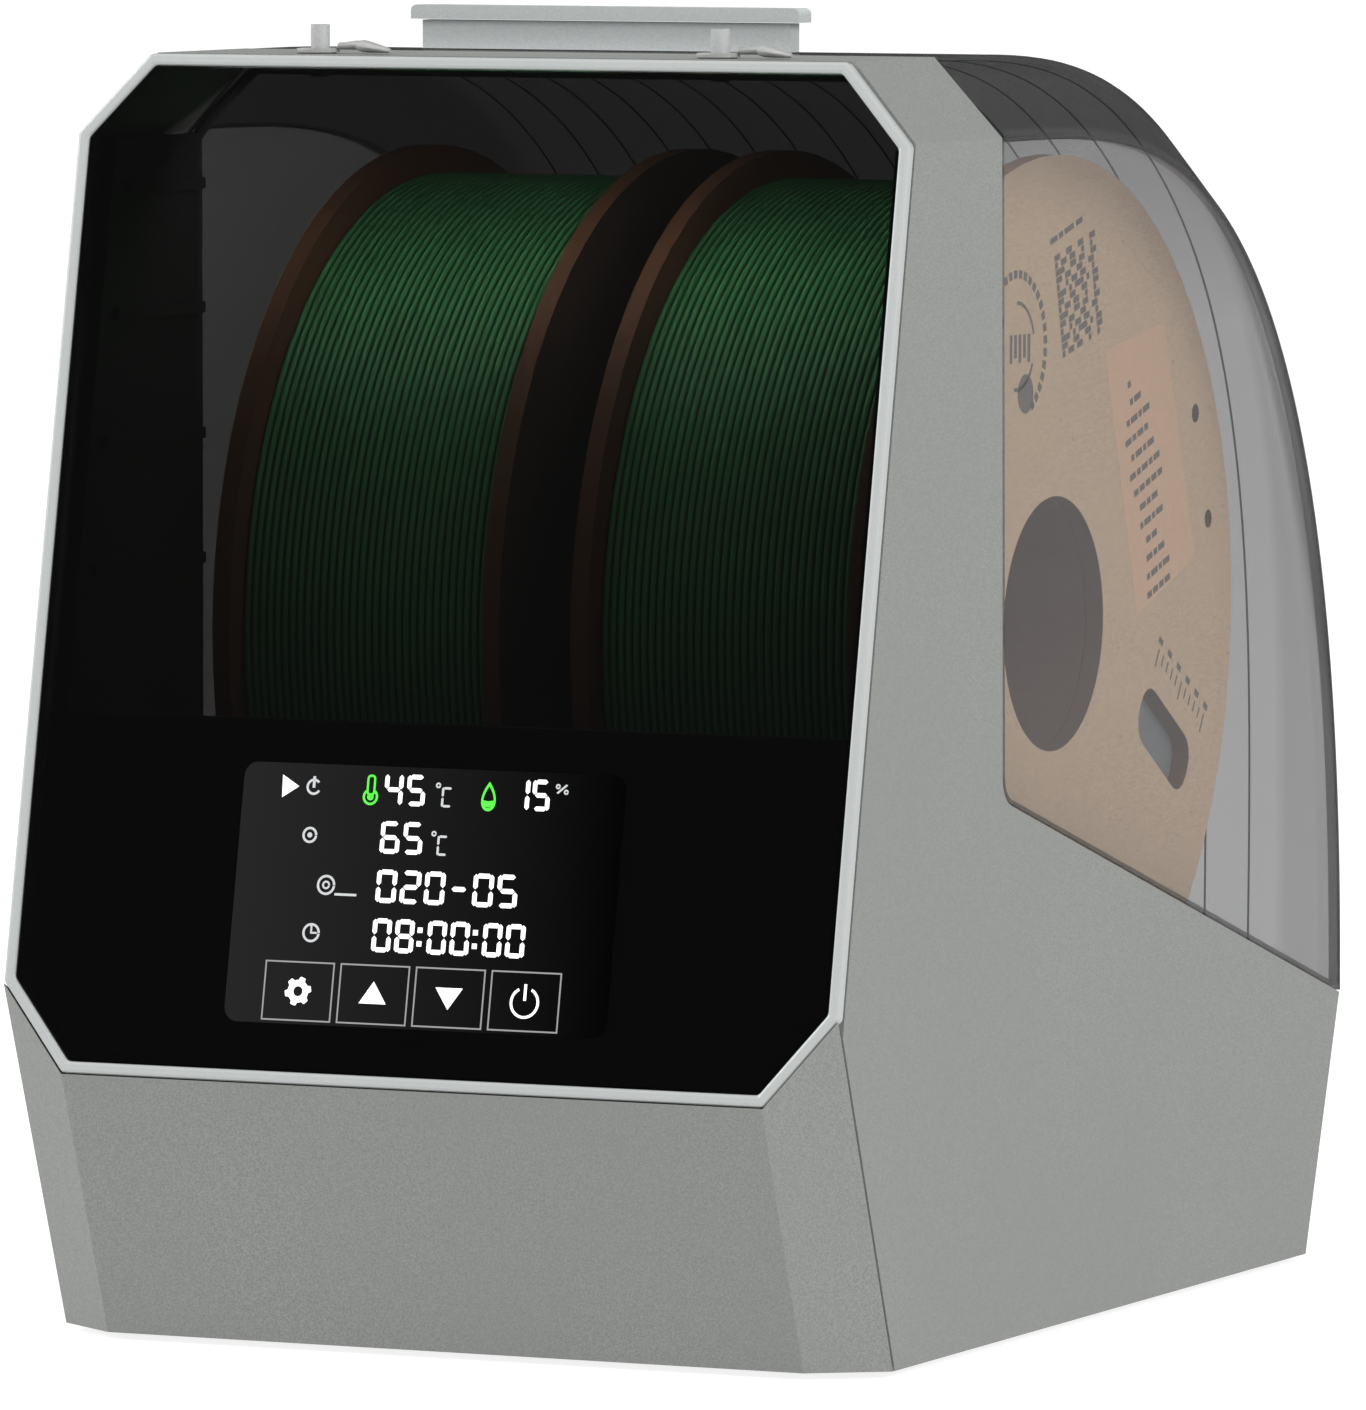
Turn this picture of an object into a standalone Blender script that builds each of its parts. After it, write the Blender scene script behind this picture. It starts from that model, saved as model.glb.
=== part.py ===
"""Filament dryer box: a heated cabinet that dries two spools of printer filament.

Units: the constants are in millimetres and at() turns them into metres.  +Z is up, the front
looks along -Y, and the origin is on the table at the middle of the footprint.  Lengths called
y in the constants are measured backwards from the front edge of the chin, which leans least.
"""
import math

import bmesh
import bpy
from mathutils import Matrix, Vector

MM = 0.001
GAP = 0.3

# ---- cabinet outline -------------------------------------------------------------------------
HALF_WIDTH = 95.0
RIDGE_X = 79.7            # inner edge of the sloping shoulders
TOP_Z = 268.4
SHOULDER_Z = 251.8
CHIN_Z = 58.1             # lower edge of the leaning front
CHEEK_Z = 76.25           # where the lower corner facets reach the full width
BASE_Z = 1.5
LEAN = 0.198              # backward travel of the front for each millimetre of height
LEAN_ANGLE = math.atan(LEAN)
SEAM_Y = 86.0             # the lid meets the fixed cabinet here
SEAM_FOOT = (87.6, 114.3)  # corner where the side seam turns backwards
SEAM_FOOT_RADIUS = 6.0
REAR_EDGE = (276.8, 57.8)  # rear end of the sloping seam
HEEL_Y = 257.6
FOOT_PANEL_Y = 21.1       # lower front edge of the chin panel
FOOT_CHEEK_Y = 31.7
CHEEK_Y = 3.6
WALL = 2.6
BEZEL_DEPTH = 3.0
BEZEL_BORDER = 2.45

# ---- lid -------------------------------------------------------------------------------------
LID_WALL = 2.4
LID_BACK_Y = 277.3
LID_FOOT_Z = 57.9
LID_TOP_POWER = 2 / 3.42   # the side crease is a superellipse with these two exponents
LID_BACK_POWER = 2 / 2.23
LID_STATIONS = 40
PANE_RIM = 3.0
HINGE_Y, HINGE_Z = 279.6, 55.2
KNUCKLE_RADIUS = 3.0
DEPTH = HINGE_Y + KNUCKLE_RADIUS

# ---- spools and their rollers ----------------------------------------------------------------
SPOOL_RADIUS = 100.0
SPOOL_Y, SPOOL_Z = 161.0, 146.0
SPOOL_INNER_X, SPOOL_OUTER_X = 8.2, 75.2
FLANGE = 4.0
HUB_RADIUS = 27.25
CORE_RADIUS = 40.0
WINDING_RADIUS = 94.0
STRAND_HOLES = ((89.0, 27.6), (88.3, 11.6))   # distance and angle from the hub, in degrees
STRAND_HOLE_RADIUS = 2.1
GAUGE_SLOT = (61.5, -29.0)                    # centre of the level window, from the hub
GAUGE_SLOT_SIZE = (31.0, 13.0)
GAUGE_SLOT_TILT = math.radians(-32)
ROLLER_RADIUS = 8.0
ROLLER_HALF_PITCH = (SPOOL_RADIUS + ROLLER_RADIUS + GAP) / 2
ROLLER_Z = SPOOL_Z - math.sqrt(3) * ROLLER_HALF_PITCH
AXLE_RADIUS = 2.0
LINER_X = 89.2
TRAY_Z = 38.0
TRAY_FRONT_Y = 46.0

# ---- top fittings ----------------------------------------------------------------------------
OUTLET_X, OUTLET_Y = 45.9, 53.4
HANDLE_Y = 98.0
INLET_Z = 20.0

SIDE_ON = (math.pi / 2, 0, math.pi / 2)        # an outline's X, Y become world Y, Z
FACE_ON = (math.pi / 2 - LEAN_ANGLE, 0, 0)     # an outline lies in the leaning front
LYING = (0, math.pi / 2, 0)                    # a turned piece's axis becomes world X

for leftover in list(bpy.data.objects):
    bpy.data.objects.remove(leftover, do_unlink=True)

PARTS = bpy.data.collections.new("filament_dryer_box")
CUTTERS = bpy.data.collections.new("cutters")
for group in (PARTS, CUTTERS):
    bpy.context.scene.collection.children.link(group)


def at(x, y, z):
    """World position in metres of a point in millimetres, y measured from the chin."""
    return Vector((x, y - DEPTH / 2, z)) * MM


def material(name, colour, roughness, metallic=0.0, alpha=1.0):
    made = bpy.data.materials.new(name)
    made.use_nodes = True
    shader = made.node_tree.nodes["Principled BSDF"]
    shader.inputs["Base Color"].default_value = (*colour, 1.0)
    shader.inputs["Roughness"].default_value = roughness
    shader.inputs["Metallic"].default_value = metallic
    shader.inputs["Alpha"].default_value = alpha
    return made


GREY = material("textured_grey", (0.36, 0.37, 0.35), 0.75)
SILVER = material("satin_silver", (0.57, 0.60, 0.59), 0.4)
SMOKED = material("smoked_clear", (0.05, 0.06, 0.07), 0.08, alpha=0.7)
CLEAR = material("clear", (0.75, 0.78, 0.78), 0.06, alpha=0.3)
BLACK = material("black_plastic", (0.02, 0.02, 0.022), 0.55)
PRINT = material("black_print", (0.008, 0.008, 0.009), 0.3)
RUBBER = material("rubber", (0.03, 0.03, 0.03), 0.85)
SILICONE = material("silicone", (0.72, 0.73, 0.72), 0.5)
TUBE = material("clear_tube", (0.85, 0.85, 0.83), 0.3)
STEEL = material("steel", (0.6, 0.6, 0.6), 0.3, metallic=1.0)
ALUMINIUM = material("aluminium", (0.7, 0.7, 0.7), 0.35, metallic=1.0)
BOARD = material("circuit_board", (0.02, 0.12, 0.05), 0.5)
DISPLAY = material("display", (0.012, 0.013, 0.015), 0.15)
CARD = material("kraft_card", (0.42, 0.30, 0.19), 0.85)
FILAMENT = material("green_filament", (0.10, 0.45, 0.06), 0.35)


# ---- shape helpers ---------------------------------------------------------------------------
def place(name, mesh, finish=None, location=(0, 0, 0), rotation=(0, 0, 0)):
    """Link a part, or a cutter when it has no material, at a place in metres."""
    made = bpy.data.objects.new(name, mesh)
    made.location = location
    made.rotation_euler = rotation
    if finish is None:
        made.hide_render = True
        made.display_type = "WIRE"
        CUTTERS.objects.link(made)
    else:
        mesh.materials.clear()
        mesh.materials.append(finish)
        PARTS.objects.link(made)
    return made


def box_mesh(size_x, size_y, size_z):
    mesh = bpy.data.meshes.new("box")
    shape = bmesh.new()
    scale = Matrix.Diagonal((size_x * MM, size_y * MM, size_z * MM, 1))
    bmesh.ops.create_cube(shape, size=1, matrix=scale)
    shape.to_mesh(mesh)
    shape.free()
    return mesh


def rod_mesh(radius, length, segments=24):
    mesh = bpy.data.meshes.new("rod")
    shape = bmesh.new()
    bmesh.ops.create_cone(shape, cap_ends=True, segments=segments, radius1=radius * MM,
                          radius2=radius * MM, depth=length * MM)
    shape.to_mesh(mesh)
    shape.free()
    return mesh


def plate_mesh(outlines, thickness):
    """A flat outline, with any holes after it, extruded evenly about its own plane."""
    curve = bpy.data.curves.new("outline", "CURVE")
    curve.dimensions = "2D"
    curve.fill_mode = "BOTH"
    curve.extrude = thickness / 2 * MM
    for outline in outlines:
        spline = curve.splines.new("POLY")
        spline.points.add(len(outline) - 1)
        for point, (across, up) in zip(spline.points, outline):
            point.co = (across * MM, up * MM, 0, 1)
        spline.use_cyclic_u = True
    return mesh_from_curve(curve)


def mesh_from_curve(curve):
    drawn = bpy.data.objects.new("outline", curve)
    CUTTERS.objects.link(drawn)
    bpy.context.view_layer.update()
    depsgraph = bpy.context.evaluated_depsgraph_get()
    mesh = bpy.data.meshes.new_from_object(drawn.evaluated_get(depsgraph))
    bpy.data.objects.remove(drawn)
    shape = bmesh.new()
    shape.from_mesh(mesh)
    bmesh.ops.remove_doubles(shape, verts=shape.verts, dist=0.00001)
    shape.to_mesh(mesh)
    shape.free()
    return mesh


def side_plate(name, outline, thickness, x, finish=None):
    """A plate parallel to the cabinet's sides, its outline given as (y, z) points."""
    return place(name, plate_mesh([outline], thickness), finish, at(x, 0, 0), SIDE_ON)


def face_plate(name, outlines, front, back, finish=None):
    """A plate in the leaning front, from front to back millimetres behind its surface."""
    made = place(name, plate_mesh(outlines, back - front), finish, at(0, 0, CHIN_Z), FACE_ON)
    inward = Vector((0, math.cos(LEAN_ANGLE), -math.sin(LEAN_ANGLE)))
    made.location = at(0, 0, CHIN_Z) + inward * (front + back) / 2 * MM
    return made


def loft(name, sections, finish=None):
    """A closed solid through rings of world points in metres that all have the same count."""
    mesh = bpy.data.meshes.new("loft")
    shape = bmesh.new()
    rings = [[shape.verts.new(point) for point in ring] for ring in sections]
    for first, second in zip(rings, rings[1:]):
        for i in range(len(first)):
            j = (i + 1) % len(first)
            shape.faces.new((first[i], first[j], second[j], second[i]))
    shape.faces.new(list(reversed(rings[0])))
    shape.faces.new(rings[-1])
    bmesh.ops.triangulate(shape, faces=shape.faces)
    bmesh.ops.dissolve_limit(shape, angle_limit=0.0005, verts=shape.verts, edges=shape.edges)
    bmesh.ops.recalc_face_normals(shape, faces=shape.faces)
    shape.to_mesh(mesh)
    shape.free()
    return place(name, mesh, finish)


def turned(name, profile, finish, location, rotation=(0, 0, 0), steps=48):
    """A turned piece: a closed (radius, height) profile, outer side first and downwards."""
    mesh = bpy.data.meshes.new("profile")
    points = [(radius * MM, 0, height * MM) for radius, height in profile]
    edges = [(i, (i + 1) % len(points)) for i in range(len(points))]
    mesh.from_pydata(points, edges, [])
    made = place(name, mesh, finish, location, rotation)
    screw = made.modifiers.new("turn", "SCREW")
    screw.steps = steps
    screw.render_steps = steps
    screw.use_merge_vertices = True
    screw.merge_threshold = 0.00001
    screw.use_smooth_shade = True
    return made


def tube_profile(outer, inner, length):
    half = length / 2
    return [(outer, half), (outer, -half), (inner, -half), (inner, half)]


def boolean(target, tool, operation):
    change = target.modifiers.new(tool.name, "BOOLEAN")
    change.operation = operation
    change.solver = "EXACT"
    change.object = tool


def cut(target, tool):
    boolean(target, tool, "DIFFERENCE")


def join(target, tool):
    boolean(target, tool, "UNION")


def soften(target, width, segments=2):
    bevel = target.modifiers.new("soft_edges", "BEVEL")
    bevel.width = width * MM
    bevel.segments = segments
    bevel.limit_method = "ANGLE"
    bevel.angle_limit = math.radians(35)


def inset(outline, distance):
    """The closed outline moved inwards by a distance; the points run anticlockwise."""
    count = len(outline)
    moved = []
    for i in range(count):
        before, here, after = (Vector(outline[k % count]) for k in (i - 1, i, i + 1))
        arriving = (here - before).normalized()
        leaving = (after - here).normalized()
        inward = Vector((-arriving.y - leaving.y, arriving.x + leaving.x)).normalized()
        reach = distance / max(0.2, inward.dot(Vector((-arriving.y, arriving.x))))
        moved.append(tuple(here + inward * reach))
    return moved


def rounded(outline, radius, steps=4, only=None):
    """The outline with its corners, or only the listed ones, turned into arcs."""
    count = len(outline)
    points = []
    for i in range(count):
        before, here, after = (Vector(outline[k % count]) for k in (i - 1, i, i + 1))
        if only is not None and i not in only:
            points.append(tuple(here))
            continue
        to_before = (before - here).normalized()
        to_after = (after - here).normalized()
        half_angle = to_before.angle(to_after) / 2
        run = radius / math.tan(half_angle)
        centre = here + (to_before + to_after).normalized() * radius / math.sin(half_angle)
        start = here + to_before * run - centre
        sweep = start.angle_signed(here + to_after * run - centre)
        for k in range(steps + 1):
            turn = Matrix.Rotation(-sweep * k / steps, 2)
            points.append(tuple(centre + turn @ start))
    return points


def joint(name, location):
    """An empty on a joint's axis."""
    made = bpy.data.objects.new(name, None)
    made.location = location
    made.empty_display_size = 0.01
    PARTS.objects.link(made)
    return made


def hang(pivot, *pieces):
    for piece in pieces:
        piece.parent = pivot
        piece.matrix_parent_inverse = Matrix.Translation(-pivot.location)


# ---- outlines --------------------------------------------------------------------------------
def front_y(z):
    return LEAN * (z - CHIN_Z)


def cheek_y(z):
    """Lower front edge of the cabinet's side, in front of which the chin cover begins."""
    return CHEEK_Y + (CHEEK_Z - z) * (FOOT_CHEEK_Y - CHEEK_Y) / (CHEEK_Z - BASE_Z)


def rear_y(z):
    return HEEL_Y + (REAR_EDGE[0] - HEEL_Y) * (z - BASE_Z) / (REAR_EDGE[1] - BASE_Z)


def seam_z(y):
    """Height of the sloping side seam."""
    slope = (REAR_EDGE[1] - SEAM_FOOT[1]) / (REAR_EDGE[0] - SEAM_FOOT[0])
    return SEAM_FOOT[1] + slope * (y - SEAM_FOOT[0])


def up_the_front(z):
    """Distance up the leaning front of a height."""
    return (z - CHIN_Z) / math.cos(LEAN_ANGLE)


def face_octagon():
    right = [(RIDGE_X, 0), (HALF_WIDTH, up_the_front(CHEEK_Z)),
             (HALF_WIDTH, up_the_front(SHOULDER_Z)), (RIDGE_X, up_the_front(TOP_Z))]
    return right + [(-x, up) for x, up in reversed(right)]


def lid_crease(turn):
    """Point (y, z) of the lid's side crease and the outward direction there."""
    theta = min(max(turn * math.pi / 2, 0.001), math.pi / 2 - 0.001)
    sine, cosine = math.sin(theta), math.cos(theta)
    reach = LID_BACK_Y - SEAM_Y - GAP
    drop = SHOULDER_Z - LID_FOOT_Z
    point = Vector((SEAM_Y + GAP + reach * sine ** LID_TOP_POWER,
                    LID_FOOT_Z + drop * cosine ** LID_BACK_POWER))
    if turn == 0:
        point.x = SEAM_Y + GAP
    along = Vector((reach * LID_TOP_POWER * sine ** (LID_TOP_POWER - 1) * cosine,
                    -drop * LID_BACK_POWER * cosine ** (LID_BACK_POWER - 1) * sine))
    along.normalize()
    return point, Vector((-along.y, along.x))


def shoulder_rise(turn):
    """How far the lid's ridge stands above its crease: full on top, none at the rear edge."""
    fade = min(max((turn - 0.42) / 0.58, 0), 1)
    return 0.6 + (TOP_Z - SHOULDER_Z - 0.6) * math.cos(fade * math.pi / 2) ** 1.6


def lid_foot_line():
    """The lid's lower edge from the side seam round the corner to the rear, as (y, z)."""
    start = (SEAM_Y + GAP, SHOULDER_Z)
    corner = (SEAM_FOOT[0] + GAP, SEAM_FOOT[1] + GAP)
    end = (LID_BACK_Y, LID_FOOT_Z + GAP)
    bend = rounded([start, corner, end], SEAM_FOOT_RADIUS, 5, only=[1])
    return bend[1:-1], end


def side_seam():
    corner = [(SEAM_Y, SHOULDER_Z), SEAM_FOOT, REAR_EDGE]
    return rounded(corner, SEAM_FOOT_RADIUS + GAP, 5, only=[1])[1:-1]


# ---- fixed cabinet ---------------------------------------------------------------------------
def shoulder_tool(name, side, depth_from, depth_to, outward=0.0):
    """Wedge beyond the sloping shoulder of one side, moved outwards when asked."""
    slope = Vector((HALF_WIDTH - RIDGE_X, SHOULDER_Z - TOP_Z)).normalized()
    normal = Vector((-slope.y, slope.x))
    first = Vector((RIDGE_X, TOP_Z)) - slope * 12 + normal * outward
    second = Vector((HALF_WIDTH, SHOULDER_Z)) + slope * 12 + normal * outward
    outline = [first, second, second + normal * 30, first + normal * 30]
    flat = [(side * point.x, point.y) for point in outline]
    middle = (depth_from + depth_to) / 2
    return place(name, plate_mesh([flat], depth_to - depth_from), None, at(0, middle, 0),
                 (math.pi / 2, 0, 0))


def main_housing():
    behind_bezel = (BEZEL_DEPTH + GAP) / math.cos(LEAN_ANGLE)
    lip = 1.0
    meet_z = 72.1
    outline = [(front_y(meet_z) + behind_bezel, meet_z), (cheek_y(BASE_Z) + lip, BASE_Z),
               (HEEL_Y, BASE_Z), REAR_EDGE]
    outline += list(reversed(side_seam()))
    outline += [(SEAM_Y, TOP_Z), (front_y(TOP_Z) + behind_bezel, TOP_Z)]
    shell = side_plate("main_housing", outline, 2 * HALF_WIDTH, 0, GREY)
    for side in (-1, 1):
        cut(shell, shoulder_tool(f"shoulder_{side}", side, -10, 110))

    slope = Vector((HALF_WIDTH - RIDGE_X, SHOULDER_Z - TOP_Z)).normalized()
    inner_x = HALF_WIDTH - WALL
    inner_top = TOP_Z - WALL
    start = Vector((RIDGE_X, TOP_Z)) + Vector((slope.y, -slope.x)) * WALL
    ridge = (start.x + (inner_top - start.y) * slope.x / slope.y, inner_top)
    shoulder = (inner_x, start.y + (inner_x - start.x) * slope.y / slope.x)
    half = [(inner_x, -5), shoulder, ridge]
    section = half + [(-x, z) for x, z in reversed(half)]
    hollow = place("front_hollow", plate_mesh([section], 260), None, at(0, 110, 0),
                   (math.pi / 2, 0, 0))
    cut(shell, hollow)
    thick = WALL / math.cos(math.atan2(REAR_EDGE[0] - HEEL_Y, REAR_EDGE[1] - BASE_Z))
    rear = [(200, -5), (rear_y(-5) - thick, -5), (rear_y(75) - thick, 75), (200, 75)]
    cut(shell, side_plate("rear_hollow", rear, 2 * inner_x, 0))

    for side in (-1, 1):
        hole = place(f"outlet_hole_{side}", rod_mesh(3.5, 12), None,
                     at(side * OUTLET_X, OUTLET_Y, TOP_Z))
        cut(shell, hole)
    cut(shell, inlet_block("inlet_hole", 24.6, 14.6, -6, 8))
    for side in (-1, 1):
        for offset in (-10.0, 10.0):
            x = side * 60 + offset
            join(shell, housing_knuckle(f"housing_knuckle_{side}_{offset:.0f}", x))
    return shell


def housing_knuckle(name, x):
    web = [(HINGE_Y, HINGE_Z - 2.6), (HINGE_Y - 1.0, HINGE_Z + 1.6), (275.0, 56.2), (272.8, 49.0)]
    knuckle = side_plate(name, web, 7.0, x)
    barrel = place(name + "_barrel", rod_mesh(KNUCKLE_RADIUS, 7.0), None,
                   at(x, HINGE_Y, HINGE_Z), LYING)
    join(knuckle, barrel)
    hole = place(name + "_hole", rod_mesh(1.5, 9.0, 16), None, at(x, HINGE_Y, HINGE_Z), LYING)
    cut(knuckle, hole)
    return knuckle


def inlet_block(name, width, height, out, depth, finish=None):
    """A rounded block square to the sloping rear wall, from out to depth behind its face."""
    half_x, half_y = width / 2, height / 2
    outline = rounded([(half_x, -half_y), (half_x, half_y), (-half_x, half_y),
                       (-half_x, -half_y)], half_y * 0.45, 4)
    wall_angle = math.atan2(REAR_EDGE[0] - HEEL_Y, REAR_EDGE[1] - BASE_Z)
    inward = Vector((0, -math.cos(wall_angle), math.sin(wall_angle)))
    middle = at(60, rear_y(INLET_Z), INLET_Z) + inward * (out + depth) / 2 * MM
    return place(name, plate_mesh([outline], depth - out), finish, middle,
                 (math.pi / 2 - wall_angle + math.pi, 0, 0))


def power_inlet():
    body = inlet_block("power_inlet", 24.0, 14.0, 0.2, 15.0, BLACK)
    cut(body, inlet_block("inlet_socket", 17.0, 8.6, -2.0, 9.0))
    return body


def lower_front_cover():
    """Chin panel and its two corner facets, an open sheet thickened inwards."""
    corners = [(-HALF_WIDTH, CHEEK_Y, CHEEK_Z), (-RIDGE_X, 0, CHIN_Z), (RIDGE_X, 0, CHIN_Z),
               (HALF_WIDTH, CHEEK_Y, CHEEK_Z), (HALF_WIDTH, FOOT_CHEEK_Y, BASE_Z),
               (RIDGE_X, FOOT_PANEL_Y, BASE_Z), (-RIDGE_X, FOOT_PANEL_Y, BASE_Z),
               (-HALF_WIDTH, FOOT_CHEEK_Y, BASE_Z)]
    mesh = bpy.data.meshes.new("chin")
    shape = bmesh.new()
    verts = [shape.verts.new(at(*corner)) for corner in corners]
    for a, b, c, d in ((0, 7, 6, 1), (1, 6, 5, 2), (2, 5, 4, 3)):
        shape.faces.new([verts[k] for k in (a, b, c, d)])
    shape.to_mesh(mesh)
    shape.free()
    cover = place("lower_front_cover", mesh, GREY)
    thicken = cover.modifiers.new("wall", "SOLIDIFY")
    thicken.thickness = 3.0 * MM
    thicken.offset = -1
    thicken.use_even_offset = True
    cut(cover, face_plate("bezel_space", [inset(face_octagon(), -GAP)], -5, 60))
    for side in (-1, 1):
        lip = 0.7
        space = [(cheek_y(90) + lip, 90), (cheek_y(-5) + lip, -5), (80, -5), (80, 90)]
        cut(cover, side_plate(f"cheek_space_{side}", space, 4.0, side * (HALF_WIDTH - 0.9)))
    return cover


def front_bezel():
    outer = face_octagon()
    bezel = face_plate("front_bezel", [outer, inset(outer, BEZEL_BORDER)], 0, BEZEL_DEPTH, SILVER)
    soften(bezel, 0.7)
    return bezel


def front_window():
    outline = inset(face_octagon(), BEZEL_BORDER + GAP)
    return face_plate("front_window", [outline], 0.5, 2.9, SMOKED)


def control_panel_mask():
    """Opaque backing of the lower third of the window."""
    half = HALF_WIDTH - WALL - 1.0
    low = up_the_front(CHIN_Z) + 5.5
    high = up_the_front(132.2)
    outline = [(RIDGE_X - 3, low), (half, up_the_front(CHEEK_Z) + 4), (half, high)]
    outline += [(-x, up) for x, up in reversed(outline)]
    return face_plate("control_panel_mask", [outline], 3.3, 4.8, PRINT)


def display_pieces():
    low, high = up_the_front(69.8), up_the_front(123.2)
    frame = rounded([(43.2, low), (43.2, high), (-43.2, high), (-43.2, low)], 3.0, 4)
    face_plate("display_module", [frame], 5.1, 9.6, DISPLAY)
    board = [(58, 8), (58, 70), (-58, 70), (-58, 8)]
    face_plate("display_board", [board], 10.0, 11.6, BOARD)


def base_plate():
    outline = [(92, 38), (92, 254), (-92, 254), (-92, 38), (-77, 26.5), (77, 26.5)]
    shifted = [(x, y - DEPTH / 2) for x, y in outline]
    plate = place("base_plate", plate_mesh([shifted], 3.0), BLACK, (0, 0, (BASE_Z + 1.5) * MM))
    for index, (x, y) in enumerate(foot_places()):
        pocket = place(f"foot_pocket_{index}", rod_mesh(8.3, 4.0, 24), None, at(x, y, 0.5))
        cut(plate, pocket)
    for index, (x, y) in enumerate(screw_places()):
        boss = place(f"screw_boss_{index}", rod_mesh(4.5, 10.0, 12), None, at(x, y, 8.0))
        join(plate, boss)
        hole = place(f"screw_hole_{index}", rod_mesh(1.8, 30.0, 12), None, at(x, y, 8.0))
        cut(plate, hole)
        seat = place(f"screw_seat_{index}", rod_mesh(3.4, 4.0, 12), None, at(x, y, 1.6))
        cut(plate, seat)
    return plate


def foot_places():
    return [(-72, 56), (72, 56), (-72, 236), (72, 236)]


def screw_places():
    return [(-84, 72), (84, 72), (-84, 220), (84, 220)]


def feet_and_screws():
    names = ("front_left", "front_right", "rear_left", "rear_right")
    for name, (x, y) in zip(names, foot_places()):
        foot = place(f"foot_{name}", rod_mesh(8.0, 2.2, 24), RUBBER, at(x, y, 1.1))
        soften(foot, 0.4, 1)
    for name, (x, y) in zip(names, screw_places()):
        profile = [(0.9, 14.0), (1.5, 13.0), (1.5, 3.3), (3.1, 3.3), (3.1, 2.2), (2.2, 1.7)]
        screw = [(0, 14.0)] + profile + [(0, 1.7)]
        turned_closed(f"base_screw_{name}", screw, STEEL, at(x, y, 0))


def turned_closed(name, profile, finish, location, rotation=(0, 0, 0), steps=12):
    """A turned piece whose profile starts and ends on the axis."""
    mesh = bpy.data.meshes.new("profile")
    points = [(radius * MM, 0, height * MM) for radius, height in profile]
    edges = [(i, i + 1) for i in range(len(points) - 1)]
    mesh.from_pydata(points, edges, [])
    made = place(name, mesh, finish, location, rotation)
    screw = made.modifiers.new("turn", "SCREW")
    screw.steps = steps
    screw.render_steps = steps
    screw.use_merge_vertices = True
    screw.merge_threshold = 0.00001
    screw.use_smooth_shade = True
    return made


# ---- drying chamber --------------------------------------------------------------------------
def liners():
    """Ribbed inner walls of the two cheeks."""
    thickness = HALF_WIDTH - WALL - 0.4 - LINER_X
    drop = 2.9
    liner_end = SEAM_Y - 3.0
    outline = [(cheek_y(36) + 8, 36), (264, 36), (266, seam_z(266) - drop),
               (liner_end, seam_z(liner_end) - drop), (liner_end, 250.3),
               (front_y(250.3) + 6.5, 250.3), (front_y(84) + 6.5, 84)]
    for name, side in (("left_inner_liner", -1), ("right_inner_liner", 1)):
        middle = side * (LINER_X + thickness / 2)
        liner = side_plate(name, outline, thickness, middle, BLACK)
        for index, z in enumerate((160.2, 186.8, 213.5, 239.9)):
            length = liner_end - front_y(z) - 12
            rib = place(f"{name}_rib_{index}", box_mesh(3.0, length, 2.4), None,
                        at(side * LINER_X, liner_end - length / 2, z))
            join(liner, rib)


def spool_tray():
    """Chamber floor with its front and rear walls, a bent sheet thickened outwards."""
    path = [(TRAY_FRONT_Y, 129.5), (TRAY_FRONT_Y, TRAY_Z), (264, TRAY_Z), (268, 55)]
    path = rounded(path, 8.0, 4, only=[1, 2])
    mesh = bpy.data.meshes.new("tray")
    shape = bmesh.new()
    rows = [[shape.verts.new(at(side * (LINER_X - 0.4), y, z)) for side in (-1, 1)]
            for y, z in path]
    for (a, b), (c, d) in zip(rows, rows[1:]):
        shape.faces.new((a, b, d, c))
    shape.to_mesh(mesh)
    shape.free()
    tray = place("spool_tray", mesh, BLACK)
    thicken = tray.modifiers.new("wall", "SOLIDIFY")
    thicken.thickness = 2.2 * MM
    thicken.offset = -1
    thicken.use_even_offset = True
    warm_air = place("warm_air_hole", box_mesh(68, 54, 12), None, at(0, SPOOL_Y, TRAY_Z))
    cut(tray, warm_air)
    for column in range(5):
        slot = place(f"intake_slot_{column}", box_mesh(4, 34, 12), None,
                     at(-62 + 8 * column, 96, TRAY_Z))
        cut(tray, slot)
    return tray


def air_grille():
    plate = place("air_grille", box_mesh(76, 62, 1.6), BLACK, at(0, SPOOL_Y, TRAY_Z + GAP + 0.8))
    for row in range(6):
        slot = place(f"grille_slot_{row}", box_mesh(62, 4.2, 6), None,
                     at(0, SPOOL_Y - 21.5 + 8.6 * row, TRAY_Z + 1))
        cut(plate, slot)
    return plate


def roller_rails():
    for name, x in (("left_roller_rail", -82.0), ("centre_roller_rail", 0.0),
                    ("right_roller_rail", 82.0)):
        low = TRAY_Z + (GAP if x else 2.3)
        reach = ROLLER_HALF_PITCH + 11
        outline = [(SPOOL_Y - reach, low), (SPOOL_Y + reach, low), (SPOOL_Y + reach, 60.0),
                   (SPOOL_Y + reach - 20, 60.0), (SPOOL_Y + reach - 26, 47.0),
                   (SPOOL_Y - reach + 26, 47.0), (SPOOL_Y - reach + 20, 60.0),
                   (SPOOL_Y - reach, 60.0)]
        rail = side_plate(name, outline, 4.0, x, BLACK)
        for index, side in enumerate((-1, 1)):
            hole = place(f"{name}_hole_{index}", rod_mesh(AXLE_RADIUS + GAP, 8), None,
                         at(x, SPOOL_Y + side * ROLLER_HALF_PITCH, ROLLER_Z), LYING)
            cut(rail, hole)


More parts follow.
